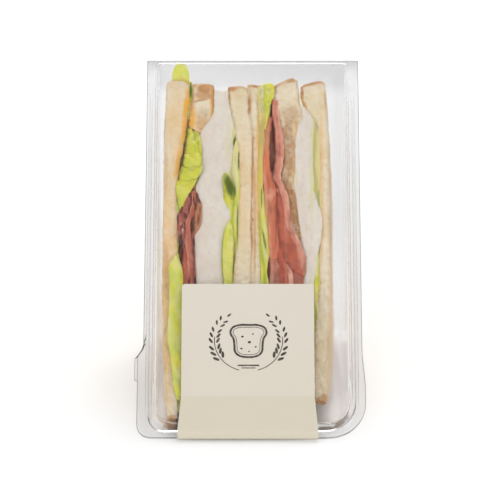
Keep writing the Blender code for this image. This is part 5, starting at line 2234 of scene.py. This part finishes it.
@dataclass(frozen=True)
class Emblem:
    """The label's printed device: a slice of bread between two ears of wheat over a short double rule.

    A crumb is given by its place and size, and a rule by its height, half its length and half its width.
    """

    x: float = -1.5
    v: float = 44.5
    level: float = 4.185
    ink: float = 0.035
    ear_radius: float = 14.6
    ear_start: float = -74.0
    ear_end: float = 52.0
    ear_points: int = 40
    stalk_points: int = 26
    first_grain: int = 12
    grains: int = 9
    slice_outline: tuple[Point, ...] = (
        (-6.0, -7.4), (6.0, -7.4), (6.0, 1.2), (8.0, 3.4), (7.2, 6.6), (3.6, 7.8), (0.0, 7.6), (-3.6, 7.8),
        (-7.2, 6.6), (-8.0, 3.4), (-6.0, 1.2))
    crumbs: tuple[Triple, ...] = (
        (-2.6, 2.2, 0.55), (1.9, 3.4, 0.4), (0.4, -0.4, 0.7), (3.1, -2.6, 0.45), (-3.0, -3.4, 0.5),
        (0.2, -4.7, 0.35))
    rules: tuple[Triple, ...] = ((-11.2, 4.6, 0.32), (-12.4, 3.0, 0.2))

    def outline_of_slice(self, grow: float) -> Array:
        """Return the outline of the slice, grown by this much all round.

        Args:
            grow: How far outside the plain outline it runs.

        Returns:
            Array of points by two coordinates.
        """
        points = np.array(self.slice_outline)
        for _ in range(3):
            following = np.roll(points, -1, axis=0)
            near, far = points * 0.75 + following * 0.25, points * 0.25 + following * 0.75
            points = np.stack((near, far), 1).reshape(-1, 2)
        run = np.roll(points, -1, axis=0) - np.roll(points, 1, axis=0)
        outward = np.stack((run[:, 1], -run[:, 0]), -1) / np.linalg.norm(run, axis=1)[:, None]
        return points + outward * grow

    def add_area(self, skin: Skin, outline: Array) -> None:
        """Add one filled shape of ink.

        Args:
            skin: The print that it belongs to.
            outline: The shape's edge, around the middle of the device.
        """
        x, v = (outline + (self.x, self.v)).T
        skin.add_loft(np.stack([spread(x, v, level) for level in (self.level, self.level + self.ink)]))

    def add_line(self, skin: Skin, outer: Array, inner: Array) -> None:
        """Add one closed line of ink between two outlines.

        Args:
            skin: The print that it belongs to.
            outer: The line's outer edge.
            inner: The line's inner edge, with as many points.
        """
        count = len(outer)
        high = self.level + self.ink
        levels = ((outer, self.level), (outer, high), (inner, high), (inner, self.level))
        loops = [np.column_stack((line + (self.x, self.v), np.full(count, level))) for line, level in levels]
        faces = []
        for loop in range(4):
            for index in range(count):
                following, other = (index + 1) % count, (loop + 1) % 4
                faces.append((loop * count + index, loop * count + following,
                              other * count + following, other * count + index))
        skin.add(np.concatenate(loops), faces)

    def add_ear(self, skin: Skin, side: float) -> None:
        """Add one ear of wheat, which curves up beside the slice.

        Args:
            skin: The print that it belongs to.
            side: -1 for the left ear and 1 for the right.
        """
        turn = np.radians(np.linspace(self.ear_start, self.ear_end, self.ear_points))
        radius = self.ear_radius
        stem = np.stack((side * radius * np.cos(turn), radius * 0.98 * np.sin(turn) + 0.4), -1)
        run = np.gradient(stem, axis=0)
        run /= np.linalg.norm(run, axis=1)[:, None]
        across = np.stack((run[:, 1], -run[:, 0]), -1)
        low, half = stem[:self.stalk_points], 0.17 * across[:self.stalk_points]
        self.add_area(skin, np.concatenate((low - half, (low + half)[::-1])))
        grain = np.radians(np.arange(0.0, 360.0, 24.0))
        run_up = self.ear_points - 1 - self.first_grain
        for index in range(self.grains):
            at = self.first_grain + int(run_up * index / (self.grains - 1))
            size = 1.0 - 0.35 * index / self.grains
            for lean in (-1.0, 1.0) if index < self.grains - 1 else (0.0,):
                tilt = lean * math.radians(32.0)
                axis = run[at] * math.cos(tilt) + across[at] * math.sin(tilt)
                wide = np.array((axis[1], -axis[0]))
                middle = stem[at] + across[at] * lean * 1.25 * size + axis * 0.9
                shape = (np.cos(grain)[:, None] * axis * 1.55 + np.sin(grain)[:, None] * wide * 0.62) * size
                self.add_area(skin, middle + shape)

    def piece(self, face: Face, ink: Material) -> bpy.types.Object:
        """Make the print's object.

        Args:
            face: Frame of the pack's face.
            ink: The ink finish.

        Returns:
            The finished object.
        """
        skin = Skin()
        self.add_line(skin, self.outline_of_slice(0.45), self.outline_of_slice(-0.45))
        self.add_line(skin, self.outline_of_slice(-1.0), self.outline_of_slice(-1.25))
        for side in (-1.0, 1.0):
            self.add_ear(skin, side)
        for height, half, thick in self.rules:
            self.add_area(skin, np.array(((-half, height - thick), (half, height - thick),
                                          (half, height + thick), (-half, height + thick))))
        turn = np.radians(np.arange(0.0, 360.0, 20.0))
        for x, v, size in self.crumbs:
            self.add_area(skin, np.stack((x + size * np.cos(turn), v + size * 0.8 * np.sin(turn)), -1))
        return skin.piece("label_print", face, ink, 40.0)


@dataclass(frozen=True)
class Pack:
    """The shut clear pack with its label."""

    face: Face
    effects: Effects

    def build(self) -> None:
        """Build tray, lid, label and the label's print."""
        plastic = PlasticFinish().material(self.effects)
        hand_over(Tray().sheet().piece(self.face, plastic), "clear_plastic", "tray")
        hand_over(Lid().sheet().piece(self.face, plastic), "clear_plastic", "lid")
        hand_over(Label().piece(self.face, PaperFinish().material(self.effects)), "label_paper", "label")
        hand_over(Emblem().piece(self.face, InkFinish().material(self.effects)), "label_paper")


# ---------------------------------------------------------------- studio and camera


@dataclass(frozen=True)
class Lamp:
    """One soft area lamp that faces the sandwich, with lengths in metres and its power in watts."""

    name: str
    place: Triple
    size: float
    power: float
    aim: Triple = (0.0, 0.0, 0.06)

    def build(self) -> None:
        """Add the lamp to the scene."""
        lamp = bpy.data.lights.new(self.name, "AREA")
        lamp.shape = "DISK"
        lamp.size = self.size
        lamp.energy = self.power
        obj = bpy.data.objects.new(self.name, lamp)
        obj.location = self.place
        obj.rotation_euler = (Vector(self.aim) - Vector(self.place)).to_track_quat("-Z", "Y").to_euler()
        bpy.context.scene.collection.objects.link(obj)


@dataclass(frozen=True)
class Studio:
    """Pale floor that curves up all round, even sky light and four soft lamps, in metres."""

    effects: Effects
    flat_radius: float = 2.2
    rise: float = 1.6
    sky: float = 0.62
    lamps: tuple[Lamp, ...] = (
        Lamp("key_lamp", (-1.0, -1.35, 1.0), 1.3, 5.0),
        Lamp("fill_lamp", (1.2, -1.3, 0.85), 1.3, 3.9),
        Lamp("low_lamp", (-0.1, -1.5, 0.3), 1.5, 8.8),
        Lamp("back_lamp", (0.2, 1.3, 1.7), 1.6, 26.0),
    )

    def build(self) -> None:
        """Add floor, sky and lamps."""
        turn = np.linspace(0.0, 2.0 * math.pi, 96, endpoint=False)
        profile = [(radius, 0.0) for radius in np.linspace(0.0, self.flat_radius, 12)[1:]]
        for bend in np.linspace(0.0, 1.0, 14)[1:] * math.pi / 2.0:
            out, up = self.rise * math.sin(bend), self.rise * (1.0 - math.cos(bend))
            profile.append((self.flat_radius + out, up))
        points = [(0.0, 0.0, 0.0)]
        for radius, height in profile:
            points += [(radius * math.cos(angle), radius * math.sin(angle), height) for angle in turn]
        count = len(turn)
        here = np.arange(count)
        ahead = (here + 1) % count
        faces = [(0, 1 + index, 1 + (index + 1) % count) for index in range(count)]
        for first in range(1, len(points) - count, count):
            corners = (first + here, first + count + here, first + count + ahead, first + ahead)
            faces += np.stack(corners, -1).tolist()
        mesh = bpy.data.meshes.new("studio_floor")
        mesh.from_pydata(points, [], faces)
        mesh.shade_smooth()
        mesh.materials.append(StudioFinish().material(self.effects))
        floor = bpy.data.objects.new("studio_floor", mesh)
        bpy.context.scene.collection.objects.link(floor)
        world = bpy.data.worlds.new("studio_sky")
        world.use_nodes = True
        sky = world.node_tree.nodes["Background"]
        sky.inputs["Color"].default_value = (1.0, 0.995, 0.985, 1.0)
        sky.inputs["Strength"].default_value = self.sky
        bpy.context.scene.world = world
        for lamp in self.lamps:
            lamp.build()
        bpy.context.scene.view_settings.view_transform = "Standard"


@dataclass(frozen=True)
class Camera:
    """The camera in front of the pack, looking a little down on it, with lengths in metres."""

    face: Face
    elevation: float = 20.0
    distance: float = 1.5
    lens: float = 248.3
    look_at: float = 89.6

    def build(self) -> None:
        """Add the camera and make it the scene's own."""
        target = Vector(self.face.world(np.array((-self.face.x, self.look_at, 0.0))))
        tilt = math.radians(self.elevation)
        back = Vector((0.0, -math.cos(tilt), math.sin(tilt)))
        camera = bpy.data.objects.new("camera", bpy.data.cameras.new("camera"))
        camera.data.lens = self.lens
        camera.data.sensor_width = 36.0
        camera.location = target + back * self.distance
        camera.rotation_euler = (-back).to_track_quat("-Z", "Y").to_euler()
        bpy.context.scene.collection.objects.link(camera)
        bpy.context.scene.camera = camera


def main() -> None:
    """Build the pack, its label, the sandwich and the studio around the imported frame."""
    logging.basicConfig(level=logging.INFO, format="%(name)s: %(message)s")
    face = Face.from_model()
    effects = Effects()
    Camera(face).build()
    Pack(face, effects).build()
    Sandwich(face, effects).build()
    Studio(effects).build()


if __name__ == "__main__":
    main()
